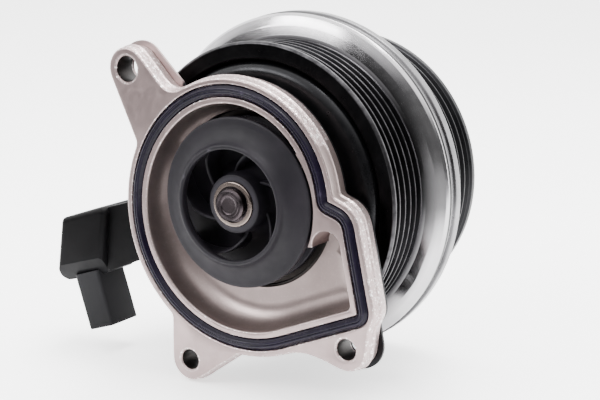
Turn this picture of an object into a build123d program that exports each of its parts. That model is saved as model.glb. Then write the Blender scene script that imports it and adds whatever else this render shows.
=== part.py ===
from build123d import *
import math
import os

# Engine coolant pump with an electromagnetic clutch on its nose.
#
# Frame: the shaft axis is the Y axis, the volute side faces -Y and the pulleys are towards +Y.
# +Z is up. The origin is on the shaft axis, in the plane of the sealing face. Millimetres.
#
# The shaft always turns with the outer drive pulley and the impeller. The ribbed clutch pulley
# runs free on its own bearing round the housing nose, over a fixed coil. When the coil pulls the
# armature plate across the air gap, the clutch pulley turns with the shaft too.

# ---- housing, in the sealing plane (x, z) ----
SMALL_ARC_C = (-1.8, 1.9)      # centre of the tighter arc of the seal groove's middle line
SMALL_ARC_R = 34.8
LARGE_ARC_C = (1.7, -4.6)      # centre of the wider arc, tangent to the first
OUTLET_CORNER = (44.2, -36.6)  # sharp corner of the groove's middle line at the discharge
GROOVE_W = 4.2
GROOVE_DEPTH = 3.2
OUTER_LAND = 2.1
INNER_LAND = 2.2
FLANGE_T = 9.0
PARTING_RIDGE = 0.5
FLOOR_Y = 10.0                 # volute floor
FLOOR_BLEND_R = 7.5
RECESS_Y = 12.4                # floor of the recess behind the impeller
CRESCENT = (1.4, -0.4)         # centre (x, z) of the shallow pocket beside the recess
CRESCENT_Y = (9.6, 11.4)
BODY_BACK_Y = 12.7
BULGE_INSET = -1.2             # outline of the volute's back, from the groove's middle line
BOSS_Y = 15.6
BOSS_R = 29.0
BORE_R = 29.4
EAR_CHAMFER = 1.5
NOSE_STEP_Y = 39.6
WELL_R = 11.0                  # clearance between the face seal and the shaft bearing
TONGUE_TOP_Z = 16.0
TONGUE_END = (32.9, -13.8)
TONGUE_END_R = 5.0

EAR_TOP = (-38.0, 45.3)
EAR_TOP_R = 7.4
EAR_TOP_HOLE_R = 4.2           # clears M8
EAR_LOW_LEFT = (-25.3, -53.3)
EAR_LOW_RIGHT = (36.6, -46.6)
EAR_LOW_R = 7.2
EAR_LOW_HOLE_R = 3.3           # clears M6

NOSE_SHOULDER_R = 19.8
NOSE_SHOULDER_Y = 20.4
NOSE_R = 17.5
NOSE_TIP_R = 16.8
NOSE_END_Y = 45.0
CLIP_Y = 36.8
CLIP_T = 1.4

# ---- shaft, its bearing and the face seal ----
SHAFT_FRONT_Y = -3.6
SHAFT_STUB_R = 5.35            # stub that stands out of the bush
SHAFT_STUB_Y = -1.9
SHAFT_FRONT_R = 6.0
SHAFT_R = 7.6
SHAFT_REAR_R = 6.5
SHAFT_END_Y = 57.0
SHAFT_BEARING_Y = (24.0, 44.4)
SHAFT_BEARING_R = 13.0
SHAFT_RING_INNER_R = 11.1
SHAFT_BALL_R = 2.2
SHAFT_BALL_PITCH_R = 9.35
SHAFT_BALL_ROWS = (29.0, 39.4)
SHAFT_BALLS = 10
SEAL_BORE_R = 12.0
SEAL_BORE_END_Y = 21.0
SEAL_FACE_Y = 13.2             # where the rotating and stationary rings run together
SEAL_CUP_Y = (12.4, 20.2)

# ---- impeller ----
IMPELLER_R = 28.0
RIM_Y = 1.1
EYE_R = 18.2
EYE_LIP_Y = -3.7
BACKPLATE_Y = (9.4, 11.4)
HUB_R = 9.6
HUB_FRONT_Y = -0.4
BUSH_R = 7.5
BUSH_FRONT_Y = -1.4
VANES = 6
VANE_T = 1.7

# ---- clutch pulley, its bearing and the coil ----
RIB_PITCH = 3.56
GROOVE_HALF_OPEN = 1.47
GROOVE_HALF_ROOT = 0.32
RIB_TIP_R = 50.0
RIB_ROOT_R = 47.2
CLUTCH_GROOVES = 5
CLUTCH_FIRST_GROOVE_Y = 17.8
CLUTCH_FRONT_Y = 14.4
CLUTCH_LIP_R = 50.9
CLUTCH_BORE_R = 45.0
LINING_R = (46.0, 50.0)
LINING_T = 1.6
OUTER_FLUX_SLOT = (39.5, 2.4, 46.0)   # radius, width, sweep in degrees
INNER_FLUX_SLOT = (33.2, 2.0, 42.0)
FLUX_SLOTS = 6
WEB_Y = 33.6
FACE_BACK_Y = 38.5
FLANGE_R = 58.2
ROTOR_HUB_R = 28.8
ROTOR_BEARING_Y = (20.6, 36.6)
ROTOR_BEARING_R = 25.0
ROTOR_INNER_RACE_R = 19.9
ROTOR_OUTER_RACE_R = 22.6
ROTOR_BALL_R = 2.3
ROTOR_BALL_PITCH_R = 21.25
ROTOR_BALL_ROWS = (25.0, 32.2)
ROTOR_BALLS = 18
COIL_FRONT_Y = 13.2
COIL_BACK_Y = 32.9
COIL_OUT_R = 44.3
COIL_IN_R = 29.4
COIL_WALL = 2.0
COIL_SCREW_RING_R = 24.4
COIL_SCREWS = 3
WINDING_BACK_Y = 30.6

# ---- armature, hub and outer drive pulley ----
AIR_GAP = 0.5
ARMATURE_R = 58.6
ARMATURE_BACK_Y = 45.6
SPRING_Y = 46.4
SPRING_T = 0.6
RIVET_RING_R = 36.0
RIVET_R = 1.9
RIVETS = 3
ARMATURE_BORE_R = 29.5
ARMATURE_WEB_Y = 43.5
ARMATURE_WINDOW = (43.0, 3.4, 34.0)   # radius, width, sweep in degrees
DRIVE_FRONT_Y = 48.0
DRIVE_BACK_Y = 76.0
DRIVE_LIP_R = 49.0
DRIVE_TIP_R = 48.2
DRIVE_ROOT_R = 45.5
DRIVE_GROOVES = 6
DRIVE_BOLTS = 3
DRIVE_BOLT_RING_R = 19.0
DRIVE_WINDOW = (6.0, 26.0)     # width, sweep in degrees
HUB_FLANGE_R = 25.0
HUB_FLANGE_Y = (46.4, 51.0)
HUB_NECK_R = 13.0
WEB_BACK_Y = 54.4

# ---- coil connector, at the left of the housing (x, z) ----
BOX_CORNERS = ((-82.0, -6.8), (-60.8, -2.4), (-66.6, -27.2), (-88.2, -30.9))
BOX_Y = (7.4, 27.0)
BOX_BEVEL = (5.0, 6.2)         # of the lower front edge: back from the front face, and up it
ARM_CORNERS = ((-62.0, -2.9), (-44.0, 1.4), (-38.3, 0.6),
               (-38.3, -17.5), (-44.0, -20.6), (-66.0, -26.9))
ARM_Y = (10.4, 13.15)
SOCKET_TOP = (-75.0, -29.0)    # middle of the socket where it leaves the box
SOCKET_TILT = 11.6
SOCKET_LEN = 18.4
SOCKET_SIZE = (11.3, 14.5)
SOCKET_Y = 17.1
SOCKET_WALL = 1.5
TERMINAL_X = (-2.2, 2.2)

RUNNING = 0.05                 # radial running clearance
CAGE_CLEARANCE = 0.12          # between a ball and its pocket
UPRIGHT_TURN = -6.73           # turn about the shaft that stands the pump as it is displayed


# ---------------------------------------------------------------- helpers

def turned(*profile):
    """Solid of revolution about the shaft axis from (radius, y) corners."""
    return revolve(make_face(Polyline(*profile, close=True)), Axis.Y)


def tube(r_in, r_out, y0, y1):
    return turned((r_in, y0), (r_out, y0), (r_out, y1), (r_in, y1))


def disc(r, y0, y1):
    return turned((0, y0), (r, y0), (r, y1), (0, y1))


def slab(face, y0, y1):
    """Extrude a flat (x, z) face from y0 to y1."""
    return Plane(origin=(0, y1, 0), x_dir=(1, 0, 0), z_dir=(0, -1, 0)) * extrude(face, y1 - y0)


def torus(ring_r, r, y):
    section = Plane.XY * Pos(ring_r, y) * Circle(r)
    return revolve(section, Axis.Y)


def around(solid, angles):
    """Copies of a solid turned about the shaft axis."""
    return [Rot(0, a, 0) * solid for a in angles]


def evenly(count, first=0.0):
    return [first + i * 360.0 / count for i in range(count)]


def cut_all(solid, tools):
    for tool in tools:
        solid = solid - tool
    return solid


def v_groove(y, tip_r, root_r):
    """Ring that cuts one poly-V groove, centred at y."""
    over = 1.5
    slope = (GROOVE_HALF_OPEN - GROOVE_HALF_ROOT) / (tip_r - root_r)
    wide = GROOVE_HALF_OPEN + slope * over
    return turned((root_r, y - GROOVE_HALF_ROOT), (tip_r + over, y - wide),
                  (tip_r + over, y + wide), (root_r, y + GROOVE_HALF_ROOT))


def ball_rows(ball_r, pitch_r, rows, count):
    balls = []
    for row, y in enumerate(rows):
        ball = Pos(pitch_r, y, 0) * Sphere(ball_r)
        balls += around(ball, evenly(count, row * 180.0 / count))
    return balls


def cages(r_in, r_out, half_width, ball_r, pitch_r, rows, count):
    """One ring with round pockets per ball row."""
    rings = []
    for row, y in enumerate(rows):
        ring = tube(r_in, r_out, y - half_width, y + half_width)
        pocket = Pos(pitch_r, y, 0) * Rot(0, 90, 0) * Cylinder(ball_r + CAGE_CLEARANCE, 2 * ball_r)
        rings.append(cut_all(ring, around(pocket, evenly(count, row * 180.0 / count))))
    return rings


def save(name, *solids):
    """Stand the solids upright and write them as one node."""
    stood = [Rot(0, UPRIGHT_TURN, 0) * solid for solid in solids]
    shape = stood[0] if len(stood) == 1 else Compound(children=stood)
    export_step(shape, f"parts/{name}.step")


# ---------------------------------------------------------------- housing outline

def groove_middle():
    """Face bounded by the middle line of the seal groove: two tangent arcs, then the outlet corner."""
    ax, az = SMALL_ARC_C
    bx, bz = LARGE_ARC_C
    apart = math.hypot(ax - bx, az - bz)
    large_r = SMALL_ARC_R + apart
    meet = math.atan2(az - bz, ax - bx)
    start = (ax + SMALL_ARC_R, az)
    middle = (ax + SMALL_ARC_R * math.cos(meet / 2), az + SMALL_ARC_R * math.sin(meet / 2))
    join = (bx + large_r * math.cos(meet), bz + large_r * math.sin(meet))
    # the straight run to the outlet corner leaves the wide arc as a tangent
    to_corner = (OUTLET_CORNER[0] - bx, OUTLET_CORNER[1] - bz)
    reach = math.hypot(*to_corner)
    leave = math.atan2(to_corner[1], to_corner[0]) - math.acos(large_r / reach)
    end = (bx + large_r * math.cos(leave), bz + large_r * math.sin(leave))
    half = (meet + leave + 2 * math.pi) / 2
    low = (bx + large_r * math.cos(half), bz + large_r * math.sin(half))
    outlet = FilletPolyline(end, OUTLET_CORNER, (41.3, -4.6), (start[0], -0.6), start,
                            radius=(3.4, 6.0, 2.6))
    return make_face([ThreePointArc(start, middle, join), ThreePointArc(join, low, end), outlet])


def outline(distance):
    return offset(groove_middle(), amount=distance, kind=Kind.ARC)


def ear(centre, radius, root_a, root_b):
    """Rounded ear: the hull of its end circle and a base line, its roots clockwise round the ear."""
    circle = Pos(*centre) * Circle(radius)
    ends = []
    for root, side in ((root_a, 1), (root_b, -1)):
        dx, dz = root[0] - centre[0], root[1] - centre[1]
        turn = math.atan2(dz, dx) + side * math.acos(radius / math.hypot(dx, dz))
        ends.append((centre[0] + radius * math.cos(turn), centre[1] + radius * math.sin(turn)))
    return circle + make_face(Polyline(ends[0], root_a, root_b, ends[1], close=True))


def flange_face(extra=0.0):
    """Outline of the flange: the volute land with its three ears, corners blended."""
    body = outline(GROOVE_W / 2 + OUTER_LAND + extra)
    top = ear(EAR_TOP, EAR_TOP_R + extra, (-20.5 + extra, 34.0), (-36.9 - extra, 19.0))
    low_left = ear(EAR_LOW_LEFT, EAR_LOW_R + extra, (-29.6 - extra, -30.0), (-2.0, -48.6 - extra))
    low_right = ear(EAR_LOW_RIGHT, EAR_LOW_R + extra, (18.5, -47.0 - extra), (47.4 + extra, -32.0))
    face = body + top + low_left + low_right
    blends = (((-20.0, 37.5), 6.0), ((21.0, -48.0), 9.0))
    for near, radius in blends:
        corner = sorted(face.vertices(), key=lambda v: math.dist((v.X, v.Y), near))[0]
        face = fillet(corner, radius)
    return face


def volute_space():
    """Open volute with a blended floor, closed over the tongue beside the impeller."""
    spiral = slab(outline(-(GROOVE_W / 2 + INNER_LAND)), -1, FLOOR_Y)
    floor_edges = spiral.edges().filter_by(lambda e: abs(e.center().Y - FLOOR_Y) < 0.01)
    spiral = fillet(floor_edges, FLOOR_BLEND_R)
    middle_z = (TONGUE_TOP_Z + TONGUE_END[1]) / 2
    tongue = Pos(40.0, middle_z) * Rectangle(50.0, TONGUE_TOP_Z - TONGUE_END[1])
    tongue -= Pos(*TONGUE_END) * Circle(TONGUE_END_R)
    return spiral - slab(tongue, -2, FLOOR_Y + 1)


# ---------------------------------------------------------------- stationary pieces

def pump_housing():
    """Die-cast housing: drafted flange with a parting ridge, volute, recess and bearing nose."""
    ridge = 0.42 * FLANGE_T
    body = slab(flange_face(), 0, ridge)
    body += slab(flange_face(PARTING_RIDGE), ridge, ridge + 1.0)
    body += slab(flange_face(-0.3), ridge + 1.0, FLANGE_T)
    body += slab(outline(BULGE_INSET), FLANGE_T, BODY_BACK_Y)
    body += disc(BOSS_R, BODY_BACK_Y, BOSS_Y)
    body += disc(NOSE_SHOULDER_R, BOSS_Y, NOSE_SHOULDER_Y)
    body += turned((0, NOSE_SHOULDER_Y), (NOSE_R, NOSE_SHOULDER_Y), (NOSE_R, CLIP_Y),
                   (NOSE_R - 1.0, CLIP_Y), (NOSE_R - 1.0, CLIP_Y + CLIP_T), (NOSE_R, CLIP_Y + CLIP_T),
                   (NOSE_R, NOSE_STEP_Y), (NOSE_TIP_R, NOSE_STEP_Y + 0.7), (NOSE_TIP_R, NOSE_END_Y - 0.8),
                   (NOSE_TIP_R - 0.8, NOSE_END_Y), (0, NOSE_END_Y))
    body -= volute_space()
    body -= disc(BORE_R, 0, RECESS_Y)
    body -= slab(Pos(*CRESCENT) * Circle(BORE_R), *CRESCENT_Y)
    body -= disc(SEAL_BORE_R, RECESS_Y - 1, SEAL_BORE_END_Y)
    body -= disc(WELL_R, SEAL_BORE_END_Y - 1, SHAFT_BEARING_Y[0] + 1)
    body -= disc(SHAFT_BEARING_R, SHAFT_BEARING_Y[0], NOSE_END_Y + 1)
    groove = outline(GROOVE_W / 2) - outline(-GROOVE_W / 2)
    body -= slab(groove, -1, GROOVE_DEPTH)
    holes = ((EAR_TOP, EAR_TOP_HOLE_R), (EAR_LOW_LEFT, EAR_LOW_HOLE_R), (EAR_LOW_RIGHT, EAR_LOW_HOLE_R))
    for (x, z), r in holes:
        body -= slab(Pos(x, z) * Circle(r), -1, FLANGE_T + 4)
        body -= Pos(x, 0, z) * turned((0, -1), (r + EAR_CHAMFER, -1), (r, 0.5), (0, 0.5))
    for angle in evenly(COIL_SCREWS, 30):
        body -= Rot(0, angle, 0) * (Pos(COIL_SCREW_RING_R, 0, 0) * disc(1.6, 13.4, BOSS_Y + 1))
    return body


def housing_seal():
    """Moulded rubber seal that stands a little out of its groove."""
    half = 1.75
    foot = outline(half) - outline(-half)
    crown = outline(half - 0.7) - outline(-half + 0.7)
    return slab(foot, 0.2, GROOVE_DEPTH) + slab(crown, -0.7, 0.2)


def seal_cup():
    """Pressed steel case of the face seal, with its flange on the recess floor."""
    y0, y1 = SEAL_CUP_Y
    return turned((8.7, y1), (11.3, y1), (11.3, y0 + 0.5), (11.6, y0), (13.6, y0), (13.6, y0 - 0.5),
                  (11.2, y0 - 0.5), (10.8, y0), (10.8, y1 - 0.5), (8.7, y1 - 0.5))


def seal_stationary_ring():
    y0 = SEAL_FACE_Y
    return turned((7.9, y0), (9.4, y0), (9.4, y0 + 1.0), (10.4, y0 + 1.0), (10.4, y0 + 2.4),
                  (7.9, y0 + 2.4))


def seal_bellows():
    y0, y1 = SEAL_FACE_Y + 2.4, SEAL_CUP_Y[1] - 0.6
    return turned((8.0, y0), (10.6, y0), (10.6, y0 + 1.0), (9.0, y0 + 1.3), (9.0, y1 - 0.9),
                  (10.7, y1 - 0.7), (10.7, y1), (8.0, y1))


def seal_spring():
    helix = Helix(pitch=0.8, height=1.2, radius=9.75)
    wire = sweep(Plane(origin=helix @ 0, z_dir=helix % 0) * Circle(0.25), path=helix)
    return Pos(0, 17.2, 0) * Rot(-90, 0, 0) * wire


def shaft_bearing_ring():
    y0, y1 = SHAFT_BEARING_Y
    ring = tube(SHAFT_RING_INNER_R, SHAFT_BEARING_R, y0, y1)
    tracks = [torus(SHAFT_BALL_PITCH_R, SHAFT_BALL_R + RUNNING, y) for y in SHAFT_BALL_ROWS]
    return cut_all(ring, tracks)


def shaft_bearing_seals():
    y0, y1 = SHAFT_BEARING_Y
    return [tube(SHAFT_R + 0.15, SHAFT_RING_INNER_R, y, y + 0.9) for y in (y0 + 0.3, y1 - 1.2)]


def rotor_bearing_inner_ring():
    y0, y1 = ROTOR_BEARING_Y
    ring = tube(NOSE_R, ROTOR_INNER_RACE_R, y0, y1)
    tracks = [torus(ROTOR_BALL_PITCH_R, ROTOR_BALL_R + RUNNING, y) for y in ROTOR_BALL_ROWS]
    return cut_all(ring, tracks)


def nose_circlip():
    """External retaining ring with its gap and two plier lugs."""
    y0, y1 = CLIP_Y + 0.1, CLIP_Y + CLIP_T - 0.1
    ring = tube(NOSE_R - 1.0, NOSE_R + 1.3, y0, y1)
    ring += slab(Pos(3.4, NOSE_R + 1.2) * Circle(1.9) + Pos(-3.4, NOSE_R + 1.2) * Circle(1.9), y0, y1)
    ring -= disc(NOSE_R - 1.0, y0 - 1, y1 + 1)
    ring -= slab(Pos(0, NOSE_R) * Rectangle(3.2, 8.0), y0 - 1, y1 + 1)
    for x in (-3.4, 3.4):
        ring -= slab(Pos(x, NOSE_R + 1.4) * Circle(0.8), y0 - 1, y1 + 1)
    return ring


def coil_core():
    """Steel channel that carries the winding, open towards the clutch pulley's web."""
    shell = tube(COIL_IN_R, COIL_OUT_R, COIL_FRONT_Y, COIL_BACK_Y)
    rim = shell.edges().filter_by(GeomType.CIRCLE).filter_by(
        lambda e: abs(e.radius - COIL_OUT_R) < 0.01 and abs(e.center().Y - COIL_FRONT_Y) < 0.01)
    shell = fillet(rim, 3.6)
    return shell - tube(COIL_IN_R + COIL_WALL, COIL_OUT_R - COIL_WALL, COIL_FRONT_Y + 2.6, COIL_BACK_Y + 1)


def coil_bobbin():
    r0, r1 = COIL_IN_R + COIL_WALL + 0.1, COIL_OUT_R - COIL_WALL - 0.1
    y0, y1 = COIL_FRONT_Y + 2.7, WINDING_BACK_Y
    return turned((r0, y0), (r1, y0), (r1, y0 + 1.3), (r0 + 1.2, y0 + 1.3), (r0 + 1.2, y1 - 1.2),
                  (r1, y1 - 1.2), (r1, y1), (r0, y1))


def coil_winding():
    return tube(COIL_IN_R + 3.4, COIL_OUT_R - 2.8, COIL_FRONT_Y + 4.1, WINDING_BACK_Y - 1.3)


def coil_potting():
    r0, r1 = COIL_IN_R + COIL_WALL + 0.1, COIL_OUT_R - COIL_WALL - 0.1
    return tube(r0, r1, WINDING_BACK_Y + 0.1, COIL_BACK_Y - 0.3)


def coil_plate():
    """Mounting ring inside the core, screwed to the boss behind the volute."""
    plate = tube(NOSE_SHOULDER_R + 0.2, COIL_IN_R, BOSS_Y, BOSS_Y + 1.6)
    hole = Pos(COIL_SCREW_RING_R, 0, 0) * disc(2.2, BOSS_Y - 1, BOSS_Y + 3)
    return cut_all(plate, around(hole, evenly(COIL_SCREWS, 30)))


def coil_screws():
    screw = disc(1.55, 13.5, BOSS_Y + 1.7) + disc(3.1, BOSS_Y + 1.6, BOSS_Y + 3.6)
    screw -= slab(RegularPolygon(1.4, 6), BOSS_Y + 2.4, BOSS_Y + 5)
    return around(Pos(COIL_SCREW_RING_R, 0, 0) * screw, evenly(COIL_SCREWS, 30))


def socket_placed(shape):
    """Place a shape whose local +X runs across the socket and -Z down along it."""
    return Pos(SOCKET_TOP[0], SOCKET_Y, SOCKET_TOP[1]) * Rot(0, -SOCKET_TILT, 0) * shape


def box_bevel():
    """Wedge that cuts the bevel along the lower front edge of the connector box."""
    (ax, az), (bx, bz) = BOX_CORNERS[2:]
    length = math.hypot(ax - bx, az - bz)
    edge = Plane(origin=(bx, BOX_Y[0], bz), x_dir=(0, 1, 0),
                 z_dir=((ax - bx) / length, 0, (az - bz) / length))
    back, up = BOX_BEVEL
    over = 3.0
    section = Polyline((-over, up + over * up / back), (-over, -over), (back + over * back / up, -over),
                       close=True)
    return edge * Pos(0, 0, -over) * extrude(make_face(section), length + 2 * over)


def connector_body():
    """Moulded connector: an arm from the coil, a rounded box and a plug socket facing down."""
    box = slab(fillet(make_face(Polyline(*BOX_CORNERS, close=True)).vertices(), 2.2), *BOX_Y)
    box = fillet(box.faces().sort_by(Axis.Y)[0].edges(), 2.0)
    arm = slab(make_face(Polyline(*ARM_CORNERS, close=True)), *ARM_Y)
    shell = Pos(0, 0, -SOCKET_LEN / 2) * Box(SOCKET_SIZE[0], SOCKET_SIZE[1], SOCKET_LEN + 4)
    shell = fillet(shell.edges().filter_by(Axis.Z), 1.2)
    well = Pos(0, 0, -SOCKET_LEN / 2 - 5) * Box(
        SOCKET_SIZE[0] - 2 * SOCKET_WALL, SOCKET_SIZE[1] - 2 * SOCKET_WALL, SOCKET_LEN)
    arm -= slab(outline(BULGE_INSET + 0.1), FLANGE_T, BODY_BACK_Y)
    body = (box - box_bevel()) + arm + socket_placed(shell) - socket_placed(well)
    for x in TERMINAL_X:
        body -= socket_placed(Pos(x, 0, -2) * Box(0.8, 2.8, 16))
    return body


def connector_terminals():
    """Two flat blades that stand in the socket."""
    return [socket_placed(Pos(x, 0, -4.5) * Box(0.8, 2.8, 21)) for x in TERMINAL_X]


def back_plate():
    """Black sheet bracket behind the flange, with a lobe behind two of the ears."""
    ring = outline(GROOVE_W / 2 + 1.4)
    top = ear(EAR_TOP, EAR_TOP_R + 1.3, (-17.0, 33.0), (-32.0, 16.0))
    low = ear(EAR_LOW_RIGHT, EAR_LOW_R + 1.3, (22.0, -44.0), (44.0, -30.0))
    plate = ring + top + low - outline(BULGE_INSET + 0.2)
    plate -= Pos(*EAR_TOP) * Circle(EAR_TOP_HOLE_R + 0.2)
    plate -= Pos(*EAR_LOW_RIGHT) * Circle(EAR_LOW_HOLE_R + 0.2)
    return slab(plate, FLANGE_T, FLANGE_T + 0.9)


# ---------------------------------------------------------------- clutch pulley body

def rotor_pulley():
    """Ribbed steel rotor: belt track, wide polished flange, friction web with flux slots, hub."""
    rotor = turned(
        (CLUTCH_BORE_R, CLUTCH_FRONT_Y + 0.8), (CLUTCH_BORE_R + 0.8, CLUTCH_FRONT_Y),
        (CLUTCH_LIP_R - 0.7, CLUTCH_FRONT_Y), (CLUTCH_LIP_R, CLUTCH_FRONT_Y + 0.7),
        (CLUTCH_LIP_R, CLUTCH_FRONT_Y + 1.5), (RIB_TIP_R, CLUTCH_FRONT_Y + 1.9),
        (RIB_TIP_R, 33.8), (50.7, 34.4), (54.2, 35.4), (57.4, 36.8), (FLANGE_R, 37.6),
        (FLANGE_R, FACE_BACK_Y), (ROTOR_BEARING_R, FACE_BACK_Y), (ROTOR_BEARING_R, 20.3),
        (ROTOR_HUB_R, 20.3), (ROTOR_HUB_R, WEB_Y), (CLUTCH_BORE_R, WEB_Y))
    for i in range(CLUTCH_GROOVES):
        rotor -= v_groove(CLUTCH_FIRST_GROOVE_Y + i * RIB_PITCH, RIB_TIP_R, RIB_ROOT_R)
    rotor -= tube(*LINING_R, FACE_BACK_Y - LINING_T, FACE_BACK_Y + 1)
    outer = slab(arc_slot(*OUTER_FLUX_SLOT), WEB_Y - 1, FACE_BACK_Y + 1)
    inner = slab(arc_slot(*INNER_FLUX_SLOT), WEB_Y - 1, FACE_BACK_Y + 1)
    return cut_all(rotor, around(outer, evenly(FLUX_SLOTS)) + around(inner, evenly(FLUX_SLOTS, 30)))


def arc_slot(r, width, sweep_deg):
    """Curved slot about the shaft axis, centred on +X."""
    a = math.radians(sweep_deg / 2)
    ring = Circle(r + width / 2) - Circle(r - width / 2)
    reach = 2 * r
    wedge = make_face(Polyline((0, 0), (reach * math.cos(a), reach * math.sin(a)),
                               (reach * math.cos(a), -reach * math.sin(a)), close=True))
    ends = [Pos(r * math.cos(s * a), r * math.sin(s * a)) * Circle(width / 2) for s in (-1, 1)]
    return (ring & wedge) + ends[0] + ends[1]


def friction_lining():
    return tube(LINING_R[0] + 0.1, LINING_R[1] - 0.1, FACE_BACK_Y - LINING_T, FACE_BACK_Y)


def rotor_bearing_outer_ring():
    y0, y1 = ROTOR_BEARING_Y
    ring = tube(ROTOR_OUTER_RACE_R, ROTOR_BEARING_R, y0, y1)
    tracks = [torus(ROTOR_BALL_PITCH_R, ROTOR_BALL_R + RUNNING, y) for y in ROTOR_BALL_ROWS]
    return cut_all(ring, tracks)


def rotor_bearing_seals():
    y0, y1 = ROTOR_BEARING_Y
    return [tube(ROTOR_INNER_RACE_R + 0.15, ROTOR_OUTER_RACE_R, y, y + 0.9)
            for y in (y0 + 0.2, y1 - 1.1)]


def rotor_bearing_clip():
    """Internal retaining ring behind the rotor bearing."""
    ring = tube(23.2, ROTOR_BEARING_R, 36.7, 37.9)
    return ring - slab(Pos(0, -24.0) * Rectangle(5.0, 6.0), 36, 39)


# ---------------------------------------------------------------- shaft body

def pump_shaft():
    chamfer = 0.65
    shaft = turned(
        (0, SHAFT_FRONT_Y + 0.6), (1.5, SHAFT_FRONT_Y + 0.6), (2.2, SHAFT_FRONT_Y),
        (SHAFT_STUB_R - chamfer, SHAFT_FRONT_Y), (SHAFT_STUB_R, SHAFT_FRONT_Y + chamfer),
        (SHAFT_STUB_R, SHAFT_STUB_Y), (SHAFT_FRONT_R, SHAFT_STUB_Y + 0.9), (SHAFT_FRONT_R, 16.0),
        (SHAFT_R, 21.6), (SHAFT_R, 44.8), (SHAFT_REAR_R, 45.8),
        (SHAFT_REAR_R, SHAFT_END_Y - 0.8), (SHAFT_REAR_R - 0.8, SHAFT_END_Y), (0, SHAFT_END_Y))
    tracks = [torus(SHAFT_BALL_PITCH_R, SHAFT_BALL_R + RUNNING, y) for y in SHAFT_BALL_ROWS]
    return cut_all(shaft, tracks)


def shroud_profile():
    """Half section of the front shroud: flat rim, flaring into the raised eye lip."""
    outer = Spline((IMPELLER_R, RIM_Y), (23.5, 0.2), (20.6, -1.4), (19.7, EYE_LIP_Y),
                   tangents=((-1, -0.1), (0, -1)))
    inner = Spline((EYE_R, EYE_LIP_Y), (18.9, -0.2), (21.6, 2.0), (IMPELLER_R, 3.0),
                   tangents=((0, 1), (1, 0.1)))
    return make_face([outer, Line(outer @ 1, inner @ 0), inner, Line(inner @ 1, outer @ 0)])


def impeller_shroud():
    return revolve(shroud_profile(), Axis.Y)


def vane_face():
    """One backward-curved vane, swept clockwise from the hub as seen from the eye."""
    stations = ((9.0, 0.0), (14.5, -21.0), (21.0, -48.0), (IMPELLER_R - 0.5, -74.0))
    edges = []
    for side in (1, -1):
        points = []
        for r, turn in stations:
            a = math.radians(turn) + side * VANE_T / 2 / r
            points.append((r * math.cos(a), r * math.sin(a)))
        edges.append(Spline(*points))
    tip = Line(edges[0] @ 1, edges[1] @ 1)
    root = Line(edges[1] @ 0, edges[0] @ 0)
    return make_face([edges[0], tip, edges[1], root])


def impeller_wheel():
    """Back plate, hub and vanes, moulded in one piece round the steel bush."""
    y0, y1 = BACKPLATE_Y
    wheel = turned((BUSH_R, HUB_FRONT_Y), (HUB_R - 0.6, HUB_FRONT_Y), (HUB_R, HUB_FRONT_Y + 0.8),
                   (HUB_R + 0.6, 6.0), (12.5, 8.6), (16.0, y0), (IMPELLER_R - 0.4, y0),
                   (IMPELLER_R - 0.4, y1), (BUSH_R, y1))
    room = revolve(make_face([
        *Polyline((8.0, 10.0), (8.0, 3.0), (EYE_R - 0.1, -0.3)).edges(),
        Spline((EYE_R - 0.1, -0.3), (19.2, 0.6), (21.6, 2.0), (IMPELLER_R - 0.4, 3.0),
               tangents=((0.6, 0.8), (1, 0.1))),
        *Polyline((IMPELLER_R - 0.4, 3.0), (IMPELLER_R - 0.4, 10.0), (8.0, 10.0)).edges()]), Axis.Y)
    vane = (slab(vane_face(), -1.0, y0 + 0.5) & room) - impeller_shroud()
    for angle in evenly(VANES, -20):
        wheel += Rot(0, angle, 0) * vane
    return wheel


def impeller_bush():
    return turned((SHAFT_FRONT_R, BUSH_FRONT_Y + 0.5), (SHAFT_FRONT_R + 0.5, BUSH_FRONT_Y),
                  (BUSH_R - 0.5, BUSH_FRONT_Y), (BUSH_R, BUSH_FRONT_Y + 0.5), (BUSH_R, BACKPLATE_Y[1]),
                  (SHAFT_FRONT_R, BACKPLATE_Y[1]))


def seal_rotating_ring():
    y0, y1 = BACKPLATE_Y[1] + 0.1, SEAL_FACE_Y - 0.05
    return turned((SHAFT_FRONT_R, y0), (10.0, y0), (10.0, y1 - 0.75), (9.3, y1), (7.4, y1),
                  (7.0, y1 - 0.55), (SHAFT_FRONT_R, y1 - 0.55))


def drive_hub():
    """Hub pressed on the rear of the shaft; the outer pulley is bolted to its flange."""
    y0, y1 = HUB_FLANGE_Y
    hub = turned((SHAFT_REAR_R, y0), (HUB_FLANGE_R, y0), (HUB_FLANGE_R, y1), (HUB_NECK_R, y1),
                 (HUB_NECK_R, 56.0), (HUB_NECK_R - 0.8, 56.8), (SHAFT_REAR_R, 56.8))
    hole = Pos(DRIVE_BOLT_RING_R, 0, 0) * disc(2.55, 45, 52)
    return cut_all(hub, around(hole, evenly(DRIVE_BOLTS, 90)))


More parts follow.
